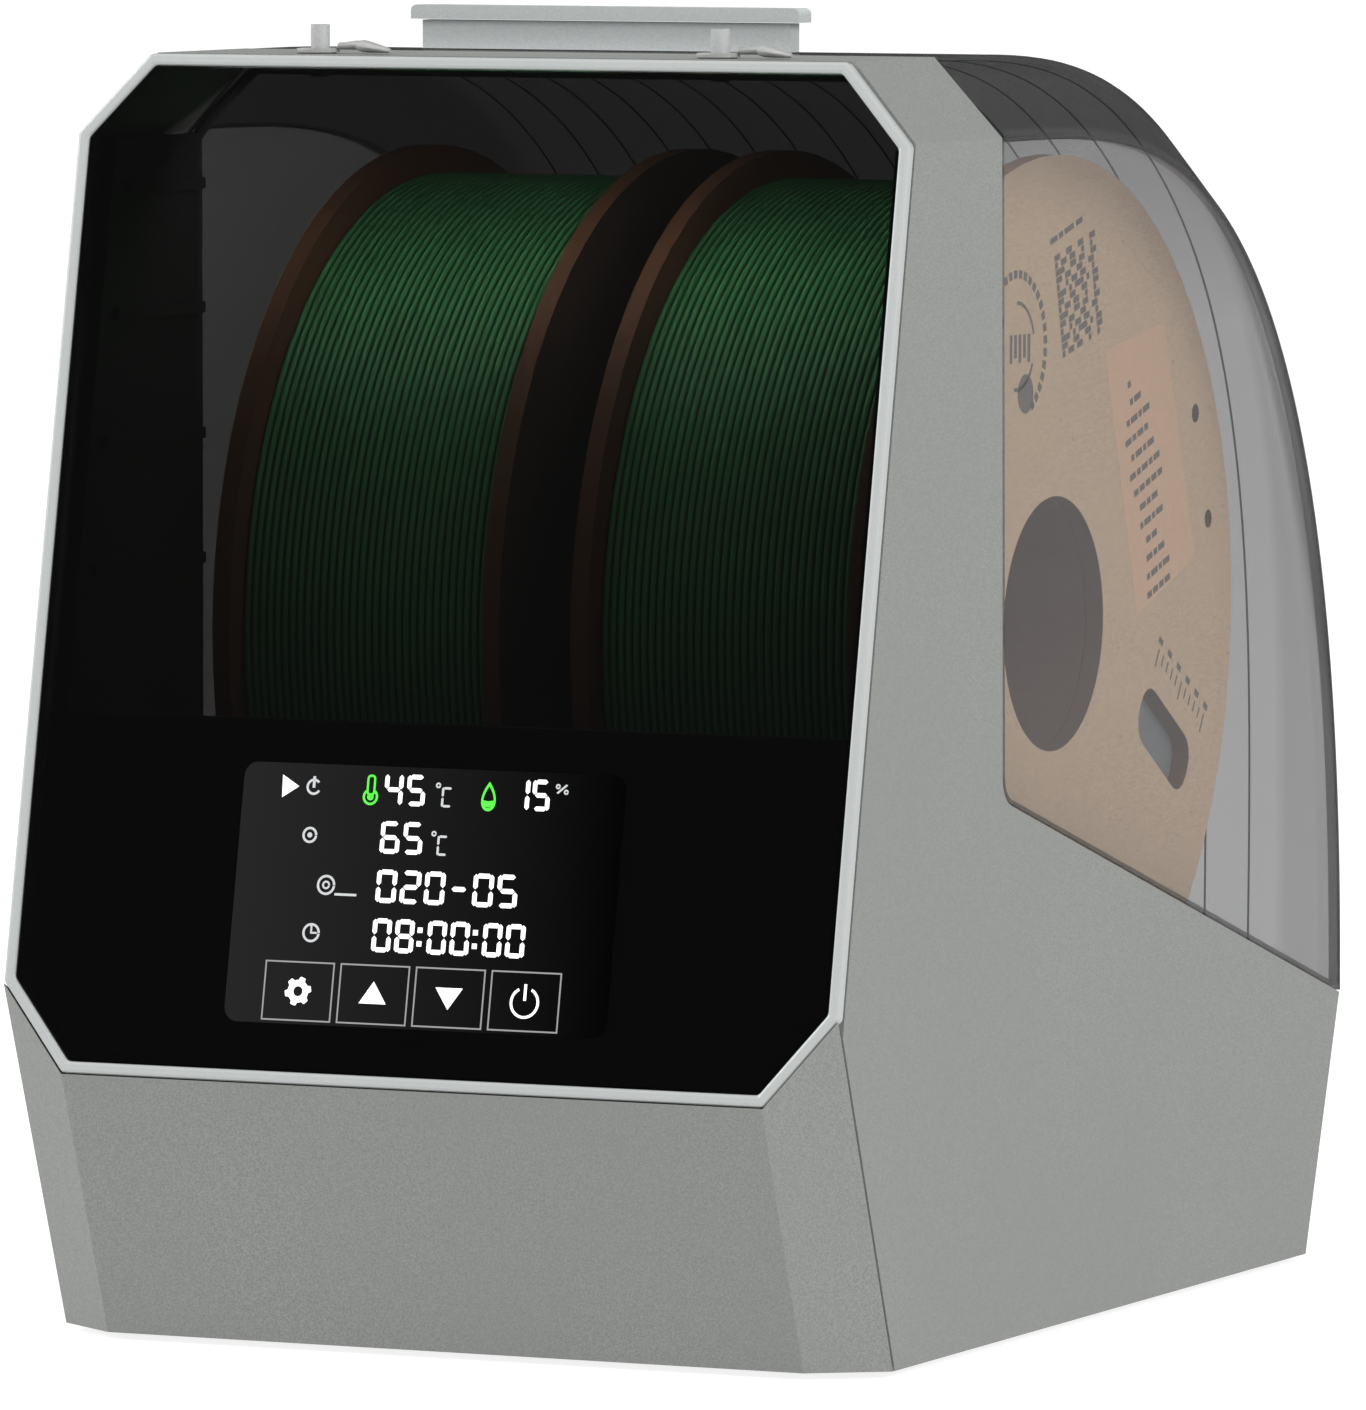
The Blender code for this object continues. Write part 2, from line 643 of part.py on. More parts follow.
def axles_and_rollers():
    for place_name, side in (("front", -1), ("rear", 1)):
        y = SPOOL_Y + side * ROLLER_HALF_PITCH
        place(f"{place_name}_axle", rod_mesh(AXLE_RADIUS, 170), STEEL, at(0, y, ROLLER_Z), LYING)
        for hand, hand_side in (("left", -1), ("right", 1)):
            middle = hand_side * (SPOOL_INNER_X + SPOOL_OUTER_X) / 2
            pivot = joint(f"{hand}_{place_name}_roller_axis", at(middle, y, ROLLER_Z))
            half = 36.0
            profile = [(ROLLER_RADIUS - 0.6, half), (ROLLER_RADIUS, half - 0.6),
                       (ROLLER_RADIUS, 0.6 - half), (ROLLER_RADIUS - 0.6, -half),
                       (AXLE_RADIUS + GAP, -half), (AXLE_RADIUS + GAP, half)]
            roller = turned(f"{hand}_{place_name}_roller", profile, STEEL,
                            at(middle, y, ROLLER_Z), LYING, 24)
            hang(pivot, roller)


def heater_and_fan():
    heater = place("heater_block", box_mesh(66, 52, 15), ALUMINIUM, at(0, SPOOL_Y, 26))
    for fin in range(10):
        slot = place(f"fin_slot_{fin}", box_mesh(3.4, 60, 10), None,
                     at(-27 + 6 * fin, SPOOL_Y, 31))
        cut(heater, slot)
    x, y = -46.0, 96.0
    house = place("fan_housing", box_mesh(62, 62, 18), BLACK, at(x, y, 18))
    cut(house, place("fan_bore", rod_mesh(27.5, 20, 48), None, at(x, y, 21)))
    cut(house, place("fan_outlet", box_mesh(40, 24, 12), None, at(x + 20, y + 12, 18)))
    pivot = joint("fan_axis", at(x, y, 18))
    fan = place("fan_impeller", rod_mesh(10, 12), BLACK, at(x, y, 18))
    for blade in range(9):
        angle = math.tau * blade / 9
        middle = Vector((math.cos(angle), math.sin(angle), 0)) * 16.5 * MM
        tool = place(f"fan_blade_{blade}", box_mesh(15, 1.4, 11), None,
                     at(x, y, 18) + middle, (0, 0, angle + 0.35))
        join(fan, tool)
    hang(pivot, fan)


def boards_and_sensor():
    place("power_board", box_mesh(52, 56, 1.6), BOARD, at(51, 205, 9.0))
    place("main_board", box_mesh(52, 56, 1.6), BOARD, at(-51, 205, 9.0))
    place("humidity_sensor", box_mesh(14, 3, 18), BLACK, at(0, TRAY_FRONT_Y + 1.8, 104))


# ---- lid -------------------------------------------------------------------------------------
def lid_ring(turn, foot, wall=0.0):
    """One cross-section of the lid, from its left foot over the roof to its right foot."""
    point, outward = lid_crease(turn)
    rise = shoulder_rise(turn)
    span = HALF_WIDTH - RIDGE_X
    face = math.hypot(span, rise)
    side_x = HALF_WIDTH - wall
    side_n = (-wall * face + wall * rise) / span
    roof_n = rise - wall
    roof_x = HALF_WIDTH + (-wall * face - roof_n * span) / rise
    crease = point + outward * side_n
    ridge = point + outward * roof_n
    half = [(side_x, *foot), (side_x, *crease), (roof_x, *ridge)]
    return half + [(-x, y, z) for x, y, z in reversed(half)]


def foot_points(count):
    """Feet of the lid's cross-sections, spaced along its lower edge."""
    bend, end = lid_foot_line()
    corner_end = Vector(bend[-1])
    rest = count - len(bend)
    along = [corner_end.lerp(Vector(end), (k + 1) / rest * 0.985) for k in range(rest)]
    return [Vector(point) for point in bend] + along


def lid_shell():
    turns = [k / (LID_STATIONS - 1) for k in range(LID_STATIONS)]
    feet = foot_points(LID_STATIONS)
    outer = [lid_ring(turn, foot) for turn, foot in zip(turns, feet)]
    lid = loft("lid_shell", [[at(*point) for point in ring] for ring in outer], SMOKED)

    below = Vector((-3.0, -12.0))
    inner = [lid_ring(turn, foot + below, LID_WALL) for turn, foot in zip(turns, feet)]
    ahead = [(x, y - 15, z) for x, y, z in inner[0]]
    under = [(x, y, z - 15) for x, y, z in inner[-1]]
    rings = [[at(*point) for point in ring] for ring in [ahead] + inner + [under]]
    cut(lid, loft("lid_hollow", rings))
    for side in (-1, 1):
        web = [(276.2, 59.6), (HINGE_Y - 1.2, HINGE_Z + 1.8), (HINGE_Y + 1.8, HINGE_Z + 1.8),
               (276.4, 66.5)]
        knuckle = side_plate(f"lid_knuckle_{side}", web, 12.0, side * 60)
        barrel = place(f"lid_knuckle_{side}_barrel", rod_mesh(KNUCKLE_RADIUS, 12.0), None,
                       at(side * 60, HINGE_Y, HINGE_Z), LYING)
        join(knuckle, barrel)
        hole = place(f"lid_knuckle_{side}_hole", rod_mesh(1.5, 16.0, 16), None,
                     at(side * 60, HINGE_Y, HINGE_Z), LYING)
        cut(knuckle, hole)
        join(lid, knuckle)
    window = inset(pane_outline(), PANE_RIM)
    for side in (-1, 1):
        cut(lid, side_plate(f"pane_hole_{side}", window, 12, side * HALF_WIDTH))
    return lid


def pane_outline():
    """The lid's whole side, anticlockwise as (y, z) points."""
    bend, end = lid_foot_line()
    arch = [tuple(lid_crease(k / 30)[0]) for k in range(30, -1, -1)]
    return bend + [end] + arch[1:]


def lid_panes():
    outline = inset(pane_outline(), PANE_RIM + GAP)
    thickness = 2.0
    panes = []
    for name, side in (("lid_left_pane", -1), ("lid_right_pane", 1)):
        middle = side * (HALF_WIDTH - 0.2 - thickness / 2)
        panes.append(side_plate(name, outline, thickness, middle, CLEAR))
    return panes


def handle():
    """Low T-shaped pull rail across the front of the lid's roof."""
    def upright(half, low, high):
        return [(half, low), (half, high), (-half, high), (-half, low)]

    stem_outline = upright(42.7, TOP_Z + GAP, 274.7)
    stem = place("handle_stem", plate_mesh([stem_outline], 4.4), GREY, at(0, HANDLE_Y, 0),
                 (math.pi / 2, 0, 0))
    cap_outline = rounded(upright(45.0, 274.9, 277.9), 1.2, 3, only=[1, 2])
    cap = place("handle_cap", plate_mesh([cap_outline], 6.4), GREY, at(0, HANDLE_Y, 0),
                (math.pi / 2, 0, 0))
    return [stem, cap]


def lid_gasket():
    """Seal that lies on the liners' rims and under the roof's rear edge."""
    radius = 1.3
    x = LINER_X + 1.4
    side = [(x, 266, seam_z(266) - radius), (x, 88.5, seam_z(88.5) - radius),
            (x, 84.6, seam_z(84.6) + 4), (x, 84.6, 249.5), (x - 3, 84.6, 253.5),
            (76.5, 84.6, TOP_Z - WALL - radius - GAP)]
    path = side + [(-px, y, z) for px, y, z in reversed(side)]
    curve = bpy.data.curves.new("gasket", "CURVE")
    curve.dimensions = "3D"
    curve.bevel_depth = radius * MM
    curve.bevel_resolution = 2
    curve.use_fill_caps = True
    spline = curve.splines.new("POLY")
    spline.points.add(len(path) - 1)
    for point, place_mm in zip(spline.points, path):
        point.co = (*at(*place_mm), 1)
    place_curve = mesh_from_curve(curve)
    place("lid_gasket", place_curve, RUBBER)


def lid_assembly():
    pivot = joint("lid_hinge_axis", at(0, HINGE_Y, HINGE_Z))
    hang(pivot, lid_shell(), *lid_panes(), *handle())
    for name, side in (("left_hinge_pin", -1), ("right_hinge_pin", 1)):
        place(name, rod_mesh(1.2, 27.0, 16), STEEL, at(side * 60, HINGE_Y, HINGE_Z), LYING)


# ---- filament outlets ------------------------------------------------------------------------
def outlets():
    for name, side in (("left", -1), ("right", 1)):
        x = side * OUTLET_X
        collar = [(4.1, 269.6), (4.1, TOP_Z + GAP), (3.2, TOP_Z + GAP), (3.2, 264.6),
                  (2.3, 264.6), (2.3, 269.6)]
        turned(f"{name}_outlet_grommet", collar, SILICONE, at(x, OUTLET_Y, 0), steps=24)
        pipe = [(2.0, 274.5), (2.0, 263.6), (1.2, 263.6), (1.2, 274.5)]
        turned(f"{name}_outlet_tube", pipe, TUBE, at(x, OUTLET_Y, 0), steps=24)
        plug_axis = at(x + 5.3, OUTLET_Y, TOP_Z + 1.3)
        pivot = joint(f"{name}_plug_axis", plug_axis)
        barrel = rod_mesh(0.9, 4.2, 16)
        plug = place(f"{name}_outlet_plug", barrel, SILICONE, plug_axis, (math.pi / 2, 0, 0))
        leaf = rounded([(5.6, -1.9), (15.9, -1.1), (15.9, 1.1), (5.6, 1.9)], 0.9, 3)
        blade = place(f"{name}_plug_leaf", plate_mesh([leaf], 1.1), None,
                      at(x, OUTLET_Y, TOP_Z + 1.3))
        join(plug, blade)
        stub = place(f"{name}_plug_stub", rod_mesh(0.9, 2.2, 12), None,
                     at(x + 13.5, OUTLET_Y, TOP_Z + 2.5))
        join(plug, stub)
        hang(pivot, plug)


# ---- spools ----------------------------------------------------------------------------------
def pierce_flange(flange, x):
    """Cuts the level window and the two holes that a loose strand end is tucked into."""
    half_long, half_wide = (size / 2 for size in GAUGE_SLOT_SIZE)
    corners = [(half_long, -half_wide), (half_long, half_wide), (-half_long, half_wide),
               (-half_long, -half_wide)]
    tilt = Matrix.Rotation(GAUGE_SLOT_TILT, 2)
    centre = Vector((SPOOL_Y, SPOOL_Z)) + Vector(GAUGE_SLOT)
    outline = [centre + tilt @ Vector(corner) for corner in rounded(corners, 5.5, 4)]
    cut(flange, side_plate(flange.name + "_slot", outline, 8, x))
    for index, (reach, degrees) in enumerate(STRAND_HOLES):
        angle = math.radians(degrees)
        hole = place(f"{flange.name}_hole_{index}", rod_mesh(STRAND_HOLE_RADIUS, 8, 12), None,
                     at(x, SPOOL_Y + reach * math.cos(angle), SPOOL_Z + reach * math.sin(angle)),
                     LYING)
        cut(flange, hole)


def spools():
    for hand, side in (("left", -1), ("right", 1)):
        middle = side * (SPOOL_INNER_X + SPOOL_OUTER_X) / 2
        pivot = joint(f"{hand}_spool_axis", at(middle, SPOOL_Y, SPOOL_Z))
        width = SPOOL_OUTER_X - SPOOL_INNER_X
        pieces = []
        for face, x in (("inner", side * (SPOOL_INNER_X + FLANGE / 2)),
                        ("outer", side * (SPOOL_OUTER_X - FLANGE / 2))):
            profile = tube_profile(SPOOL_RADIUS, HUB_RADIUS, FLANGE)
            flange = turned(f"{hand}_spool_{face}_flange", profile, CARD,
                            at(x, SPOOL_Y, SPOOL_Z), LYING, 72)
            pierce_flange(flange, x)
            pieces.append(flange)
        between = width - 2 * FLANGE - 2 * GAP
        core = tube_profile(CORE_RADIUS, HUB_RADIUS, between)
        pieces.append(turned(f"{hand}_spool_core", core, CARD, at(middle, SPOOL_Y, SPOOL_Z),
                             LYING, 48))
        wound = tube_profile(WINDING_RADIUS, CORE_RADIUS + GAP, between)
        pieces.append(turned(f"{hand}_filament_winding", wound, FILAMENT,
                             at(middle, SPOOL_Y, SPOOL_Z), LYING, 72))
        hang(pivot, *pieces)


main_housing()
power_inlet()
lower_front_cover()
front_bezel()
front_window()
control_panel_mask()
display_pieces()
base_plate()
feet_and_screws()
liners()
spool_tray()
air_grille()
roller_rails()
axles_and_rollers()
heater_and_fan()
boards_and_sensor()
lid_assembly()
lid_gasket()
outlets()
spools()

for part in PARTS.objects:
    if part.type == "MESH" and not part.modifiers:
        part.data.shade_smooth()
        part.data.set_sharp_from_angle(angle=math.radians(35))
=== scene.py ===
"""Looks of the filament dryer box: materials, printed marks and the fine surface of its parts.

Sizes are millimetres in the frame's own axes: +X right, +Y to the back, +Z up, table at z = 0.
"""

import math

import bmesh
import bpy
from mathutils import Matrix, Vector

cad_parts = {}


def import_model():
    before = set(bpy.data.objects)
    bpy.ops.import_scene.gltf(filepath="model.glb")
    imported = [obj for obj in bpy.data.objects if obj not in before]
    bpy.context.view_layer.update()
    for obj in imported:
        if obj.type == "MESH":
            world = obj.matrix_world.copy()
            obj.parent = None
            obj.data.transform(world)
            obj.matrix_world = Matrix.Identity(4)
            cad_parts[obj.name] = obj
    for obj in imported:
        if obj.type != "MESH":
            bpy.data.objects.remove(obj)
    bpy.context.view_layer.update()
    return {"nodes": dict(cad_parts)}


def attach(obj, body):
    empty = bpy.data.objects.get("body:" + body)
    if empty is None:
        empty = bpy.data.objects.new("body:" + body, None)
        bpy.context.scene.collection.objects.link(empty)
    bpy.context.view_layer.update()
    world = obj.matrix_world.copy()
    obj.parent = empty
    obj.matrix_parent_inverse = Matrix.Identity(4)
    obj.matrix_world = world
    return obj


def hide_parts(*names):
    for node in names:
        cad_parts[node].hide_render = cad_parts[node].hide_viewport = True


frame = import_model()
NODES = frame["nodes"]

MM = 0.001
# ---- the leaning front -----------------------------------------------------------------------
CHIN_Z = 58.1
CHIN_Y = -141.3
LEAN_ANGLE = math.atan(0.198)

# ---- the lid ---------------------------------------------------------------------------------
HALF_WIDTH = 95.0
RIDGE_X = 79.7
TOP_Z = 268.4
SHOULDER_Z = 251.8
LID_FRONT_Y = CHIN_Y + 86.3
LID_BACK_Y = CHIN_Y + 277.3
LID_FOOT_Z = 57.9
LID_CORNER = (CHIN_Y + 87.9, 114.6)
LID_CORNER_RADIUS = 6.0
LID_TOP_POWER = 2 / 3.42
LID_BACK_POWER = 2 / 2.23
LID_WALL = 1.3
LID_RIM = 0.9
LID_SIDE_WALL = 2.4
HINGE = (CHIN_Y + 279.6, 55.2)
RIB_PITCH = 10.45
RIB_COUNT = 15

# ---- the spools ------------------------------------------------------------------------------
SPOOL_Y, SPOOL_Z = CHIN_Y + 161.0, 146.0
SPOOL_INNER_X, SPOOL_OUTER_X = 8.2, 75.2
FLANGE = 4.0
WINDING_RADIUS = 94.0
CORE_RADIUS = 40.0
WINDING_GAP = 0.3
STRAND_TURNS = 33
WINDING_WIDTH = SPOOL_OUTER_X - SPOOL_INNER_X - 2 * FLANGE - 2 * WINDING_GAP
STRAND_PITCH = WINDING_WIDTH / STRAND_TURNS

OUTLET_X, OUTLET_Y = 45.9, CHIN_Y + 53.4
SIDES = (("left", -1), ("right", 1))


# ==== materials ===============================================================================
class Look:
    """A Principled material with helpers for the nodes that vary it."""

    def __init__(self, name, colour, roughness, metallic=0.0):
        self.made = bpy.data.materials.new(name)
        self.made.use_nodes = True
        tree = self.made.node_tree
        self.nodes, self.links = tree.nodes, tree.links
        self.shader = self.nodes["Principled BSDF"]
        self.set("Base Color", (*colour, 1.0))
        self.set("Roughness", roughness)
        self.set("Metallic", metallic)
        self.place = self.nodes.new("ShaderNodeTexCoord").outputs["Object"]

    def set(self, socket, value):
        self.shader.inputs[socket].default_value = value
        return self

    def stretched(self, scale):
        mapping = self.nodes.new("ShaderNodeMapping")
        mapping.inputs["Scale"].default_value = scale
        self.links.new(self.place, mapping.inputs["Vector"])
        return mapping.outputs["Vector"]

    def noise(self, size, detail=2.0, stretch=None):
        """Noise whose features are about size millimetres across."""
        made = self.nodes.new("ShaderNodeTexNoise")
        made.inputs["Scale"].default_value = 1 / (size * MM)
        made.inputs["Detail"].default_value = detail
        source = self.stretched(stretch) if stretch else self.place
        self.links.new(source, made.inputs["Vector"])
        return made.outputs["Fac"]

    def mapped(self, source, low, high, to_low, to_high):
        made = self.nodes.new("ShaderNodeMapRange")
        self.links.new(source, made.inputs["Value"])
        for socket, value in zip(("From Min", "From Max", "To Min", "To Max"),
                                 (low, high, to_low, to_high)):
            made.inputs[socket].default_value = value
        return made.outputs["Result"]

    def axis(self, name):
        """A coordinate of the surface in metres."""
        made = self.nodes.new("ShaderNodeSeparateXYZ")
        self.links.new(self.place, made.inputs["Vector"])
        return made.outputs[name]

    def size_of_x(self):
        """Distance from the middle plane in metres."""
        made = self.nodes.new("ShaderNodeMath")
        made.operation = "ABSOLUTE"
        self.links.new(self.axis("X"), made.inputs[0])
        return made.outputs[0]

    def mixed(self, factor, first, second):
        made = self.nodes.new("ShaderNodeMix")
        made.data_type = "RGBA"
        self.links.new(factor, made.inputs["Factor"])
        for socket, value in ((6, first), (7, second)):
            if isinstance(value, tuple):
                made.inputs[socket].default_value = (*value, 1.0)
            else:
                self.links.new(value, made.inputs[socket])
        return made.outputs[2]

    def colour(self, source):
        self.links.new(source, self.shader.inputs["Base Color"])
        return self

    def rough(self, source):
        self.links.new(source, self.shader.inputs["Roughness"])
        return self

    def bump(self, source, strength, height):
        """Relief of height millimetres."""
        made = self.nodes.new("ShaderNodeBump")
        made.inputs["Strength"].default_value = strength
        made.inputs["Distance"].default_value = height * MM
        self.links.new(source, made.inputs["Height"])
        self.links.new(made.outputs["Normal"], self.shader.inputs["Normal"])
        return self


def shade(colour, factor):
    """The colour made lighter or darker by a factor."""
    return tuple(channel * factor for channel in colour)


def moulded(name, colour, roughness, grain, relief, contrast=0.12, metallic=0.0):
    """Moulded plastic with a speckled sand texture and a slow drift of tone."""
    look = Look(name, colour, roughness, metallic)
    speck = look.mapped(look.noise(grain, 3.0), 0.36, 0.64, 0, 1)
    fine = look.mixed(speck, shade(colour, 1 - contrast), shade(colour, 1 + contrast))
    drift = look.mapped(look.noise(60, 2.0), 0.35, 0.65, 0, 0.5)
    look.colour(look.mixed(drift, fine, shade(colour, 0.95)))
    look.rough(look.mapped(look.noise(grain * 3), 0.3, 0.7, roughness - 0.07, roughness + 0.07))
    look.bump(look.noise(grain * 1.3, 2.0), 0.5, relief)
    return look.made


def brushed(name, colour, roughness, metallic, stretch):
    """Metal with fine streaks along one direction."""
    look = Look(name, colour, roughness, metallic)
    streak = look.noise(1.2, 4.0, stretch)
    tone = look.mapped(streak, 0.3, 0.7, 0, 1)
    look.colour(look.mixed(tone, shade(colour, 0.93), shade(colour, 1.05)))
    look.rough(look.mapped(streak, 0.3, 0.7, roughness - 0.06, roughness + 0.08))
    look.bump(streak, 0.15, 0.02)
    return look.made


def card():
    """Kraft board: soft clouds, short fibres and dark flecks; rims and inner faces are dark brown,
    partly the card's cut edges and partly painted shade, and the faces at the gap between the
    spools carry painted shade that is almost black.
    """
    base = (0.595, 0.430, 0.285)
    look = Look("kraft_card", base, 0.82)
    fibres = look.mapped(look.noise(0.7, 5.0, (1.0, 0.35, 1.6)), 0.38, 0.62, 0, 1)
    toned = look.mixed(fibres, shade(base, 0.90), shade(base, 1.08))
    clouds = look.mapped(look.noise(22, 3.0), 0.4, 0.6, 0, 0.35)
    toned = look.mixed(clouds, toned, (0.62, 0.445, 0.29))
    flecks = look.mapped(look.noise(1.6, 1.0), 0.70, 0.76, 0, 0.5)
    faced = look.mixed(flecks, toned, (0.26, 0.17, 0.11))
    # painted shade: every face inward of the outer face is dark brown, partly cut card edge and
    # partly shade, and the faces at the middle gap between the spools are nearly black
    outer = look.mapped(look.size_of_x(), 75.1 * MM, 75.15 * MM, 0, 1)
    edge_brown_and_shade = look.mixed(fibres, (0.090, 0.034, 0.010), (0.122, 0.049, 0.015))
    gap = look.mapped(look.size_of_x(), SPOOL_INNER_X * MM, (SPOOL_INNER_X + 0.1) * MM, 0, 1)
    look.colour(look.mixed(outer, look.mixed(gap, (0.040, 0.024, 0.014), edge_brown_and_shade), faced))
    look.bump(look.noise(0.5, 4.0), 0.4, 0.05)
    return look.made


def strand_plastic():
    """Green strand with painted shade in the grooves between its turns."""
    base = (0.060, 0.255, 0.085)
    look = Look("green_filament", base, 0.50)
    look.set("Specular IOR Level", 0.15)
    tone = look.mapped(look.noise(12.0, 2.0), 0.35, 0.65, 0, 1)
    strand = look.mixed(tone, shade(base, 0.92), shade(base, 1.07))
    turn = look.nodes.new("ShaderNodeMath")
    turn.operation = "PINGPONG"
    turn.inputs[1].default_value = STRAND_PITCH / 2 * MM
    shifted = look.nodes.new("ShaderNodeMath")
    shifted.operation = "SUBTRACT"
    look.links.new(look.size_of_x(), shifted.inputs[0])
    shifted.inputs[1].default_value = (SPOOL_INNER_X + FLANGE + WINDING_GAP) * MM
    look.links.new(shifted.outputs[0], turn.inputs[0])
    # painted shade: the strand is darkened in the grooves between its turns
    groove_shade = look.mapped(turn.outputs[0], 0.12 * MM, 0.5 * MM, 0, 1)
    look.colour(look.mixed(groove_shade, shade(base, 0.16), strand))
    look.rough(look.mapped(look.noise(0.8, 2.0), 0.3, 0.7, 0.45, 0.55))
    return look.made


def tinted(name, colour, roughness, low, high, alpha_low, alpha_high, gloss, edge=0.0,
           shoulder=0.0):
    """Clear plastic whose tint changes with height.

    It deepens by edge where seen edge-on and by shoulder outside the lid's two ridges.
    """
    look = Look(name, colour, roughness)
    look.set("Specular IOR Level", gloss)
    smear = look.noise(30, 3.0)
    look.rough(look.mapped(smear, 0.3, 0.7, roughness, roughness + 0.04))
    haze = look.mapped(look.noise(9, 3.0), 0.35, 0.65, 0, 1)
    look.colour(look.mixed(haze, shade(colour, 0.96), shade(colour, 1.04)))
    alpha = look.mapped(look.axis("Z"), low * MM, high * MM, alpha_low, alpha_high)
    weight = look.nodes.new("ShaderNodeLayerWeight")
    weight.inputs["Blend"].default_value = 0.5
    edge_on = look.mapped(weight.outputs["Facing"], 0.80, 0.97, 0, edge)
    outside = look.mapped(look.size_of_x(), (RIDGE_X - 1) * MM, (RIDGE_X + 2) * MM, 0, shoulder)
    for extra in (edge_on, outside):
        deeper = look.nodes.new("ShaderNodeMath")
        deeper.operation = "ADD"
        deeper.use_clamp = True
        look.links.new(alpha, deeper.inputs[0])
        look.links.new(extra, deeper.inputs[1])
        alpha = deeper.outputs[0]
    look.links.new(alpha, look.shader.inputs["Alpha"])
    look.made.surface_render_method = "BLENDED"
    return look.made


def lit(name, colour, strength):
    """Light of the display: an even glow with the faint unevenness of its backlight."""
    look = Look(name, shade(colour, 0.6), 0.4)
    glow = look.mapped(look.noise(3.0, 2.0), 0.3, 0.7, 0, 1)
    source = look.mixed(glow, shade(colour, 0.9), colour)
    look.links.new(source, look.shader.inputs["Emission Color"])
    look.set("Emission Strength", strength)
    return look.made


def screen_glass():
    """Display glass with painted light: a little lighter towards its left end."""
    look = Look("display", (0.012, 0.012, 0.012), 0.30)
    # painted light: the glass colour gets lighter towards the left end
    across = look.mapped(look.axis("X"), -0.043, 0.043, 0, 1)
    look.colour(look.mixed(across, (0.0150, 0.0150, 0.0152), (0.0012, 0.0012, 0.0012)))
    look.rough(look.mapped(look.noise(20, 2.0), 0.3, 0.7, 0.28, 0.34))
    look.set("Specular IOR Level", 0.0)
    return look.made


def board():
    """Green circuit board with lighter tracks."""
    look = Look("circuit_board", (0.01, 0.11, 0.045), 0.4)
    tracks = look.mapped(look.noise(2.2, 1.0, (1.0, 3.0, 1.0)), 0.48, 0.52, 0, 1)
    look.colour(look.mixed(tracks, (0.008, 0.09, 0.035), (0.02, 0.17, 0.07)))
    look.bump(tracks, 0.3, 0.03)
    return look.made


def printed(name, colour):
    """Ink on card, thin enough to let the fibres show."""
    look = Look(name, colour, 0.7)
    wear = look.mapped(look.noise(0.6, 4.0), 0.35, 0.65, 0, 0.5)
    look.colour(look.mixed(wear, colour, shade(colour, 1.35)))
    return look.made


GREY = moulded("textured_grey", (0.196, 0.203, 0.192), 0.66, 0.42, 0.05, 0.18)
HANDLE_GREY = moulded("handle_grey", (0.455, 0.480, 0.480), 0.55, 0.42, 0.03, 0.08)
# painted light: the bezel is the housing's grey plastic made lighter, standing in for light on its
# bevel, which faces up and forwards
BEZEL_GREY_LIT = moulded("satin_silver", (0.385, 0.402, 0.398), 0.45, 0.30, 0.012, 0.04, 0.1)
BLACK = moulded("black_plastic", (0.010, 0.010, 0.011), 0.5, 0.5, 0.04, 0.2)
PRINT = moulded("black_print", (0.0032, 0.0032, 0.0033), 0.35, 0.4, 0.005, 0.1)
RUBBER = moulded("rubber", (0.018, 0.018, 0.018), 0.85, 0.6, 0.06, 0.2)
SILICONE = moulded("silicone", (0.33, 0.335, 0.325), 0.42, 0.7, 0.01, 0.05)
TUBE = moulded("clear_tube", (0.40, 0.41, 0.41), 0.30, 0.8, 0.008, 0.05)
STEEL = brushed("steel", (0.55, 0.55, 0.56), 0.30, 1.0, (0.05, 1.0, 1.0))
ALUMINIUM = brushed("aluminium", (0.62, 0.63, 0.64), 0.36, 1.0, (0.05, 1.0, 1.0))
CARD = card()
FILAMENT = strand_plastic()
# painted shade: the front window's tint deepens slightly towards the bottom, for light falling from
# above
WINDOW = tinted("smoked_window", (0.0018, 0.0018, 0.0018), 0.05, 135, 245, 0.82, 0.80, 0.02)
LID_SMOKE = tinted("smoked_lid", (0.018, 0.0185, 0.0190), 0.12, 206, 240,
                   0.62, 0.75, 0.02, 0.15, 0.08)
LID_INNER = tinted("smoked_lid_inner", (0.022, 0.0225, 0.0235), 0.12, 206, 240, 0.05, 0.06, 0.02)
RIM_SMOKE = tinted("smoked_rim", (0.045, 0.046, 0.048), 0.20, 100, 240, 0.55, 0.40, 0.10)
PANE = tinted("clear", (0.13, 0.13, 0.135), 0.06, 60, 250, 0.24, 0.24, 0.15)
RIB = moulded("lid_rib", (0.020, 0.020, 0.021), 0.4, 0.5, 0.01, 0.1)
DISPLAY = screen_glass()
WHITE = lit("display_white", (0.93, 0.94, 0.95), 1.0)
PALE = lit("display_label", (0.44, 0.45, 0.46), 0.8)
OUTLINE = lit("display_outline", (0.22, 0.22, 0.225), 0.8)
GREEN = lit("display_green", (0.06, 0.62, 0.035), 1.0)
BOARD = board()
INK = printed("grey_ink", (0.125, 0.110, 0.095))
FILM = moulded("slot_film", (0.17, 0.18, 0.185), 0.6, 0.8, 0.01, 0.06)
PEACH = printed("label_print", (0.640, 0.410, 0.265))

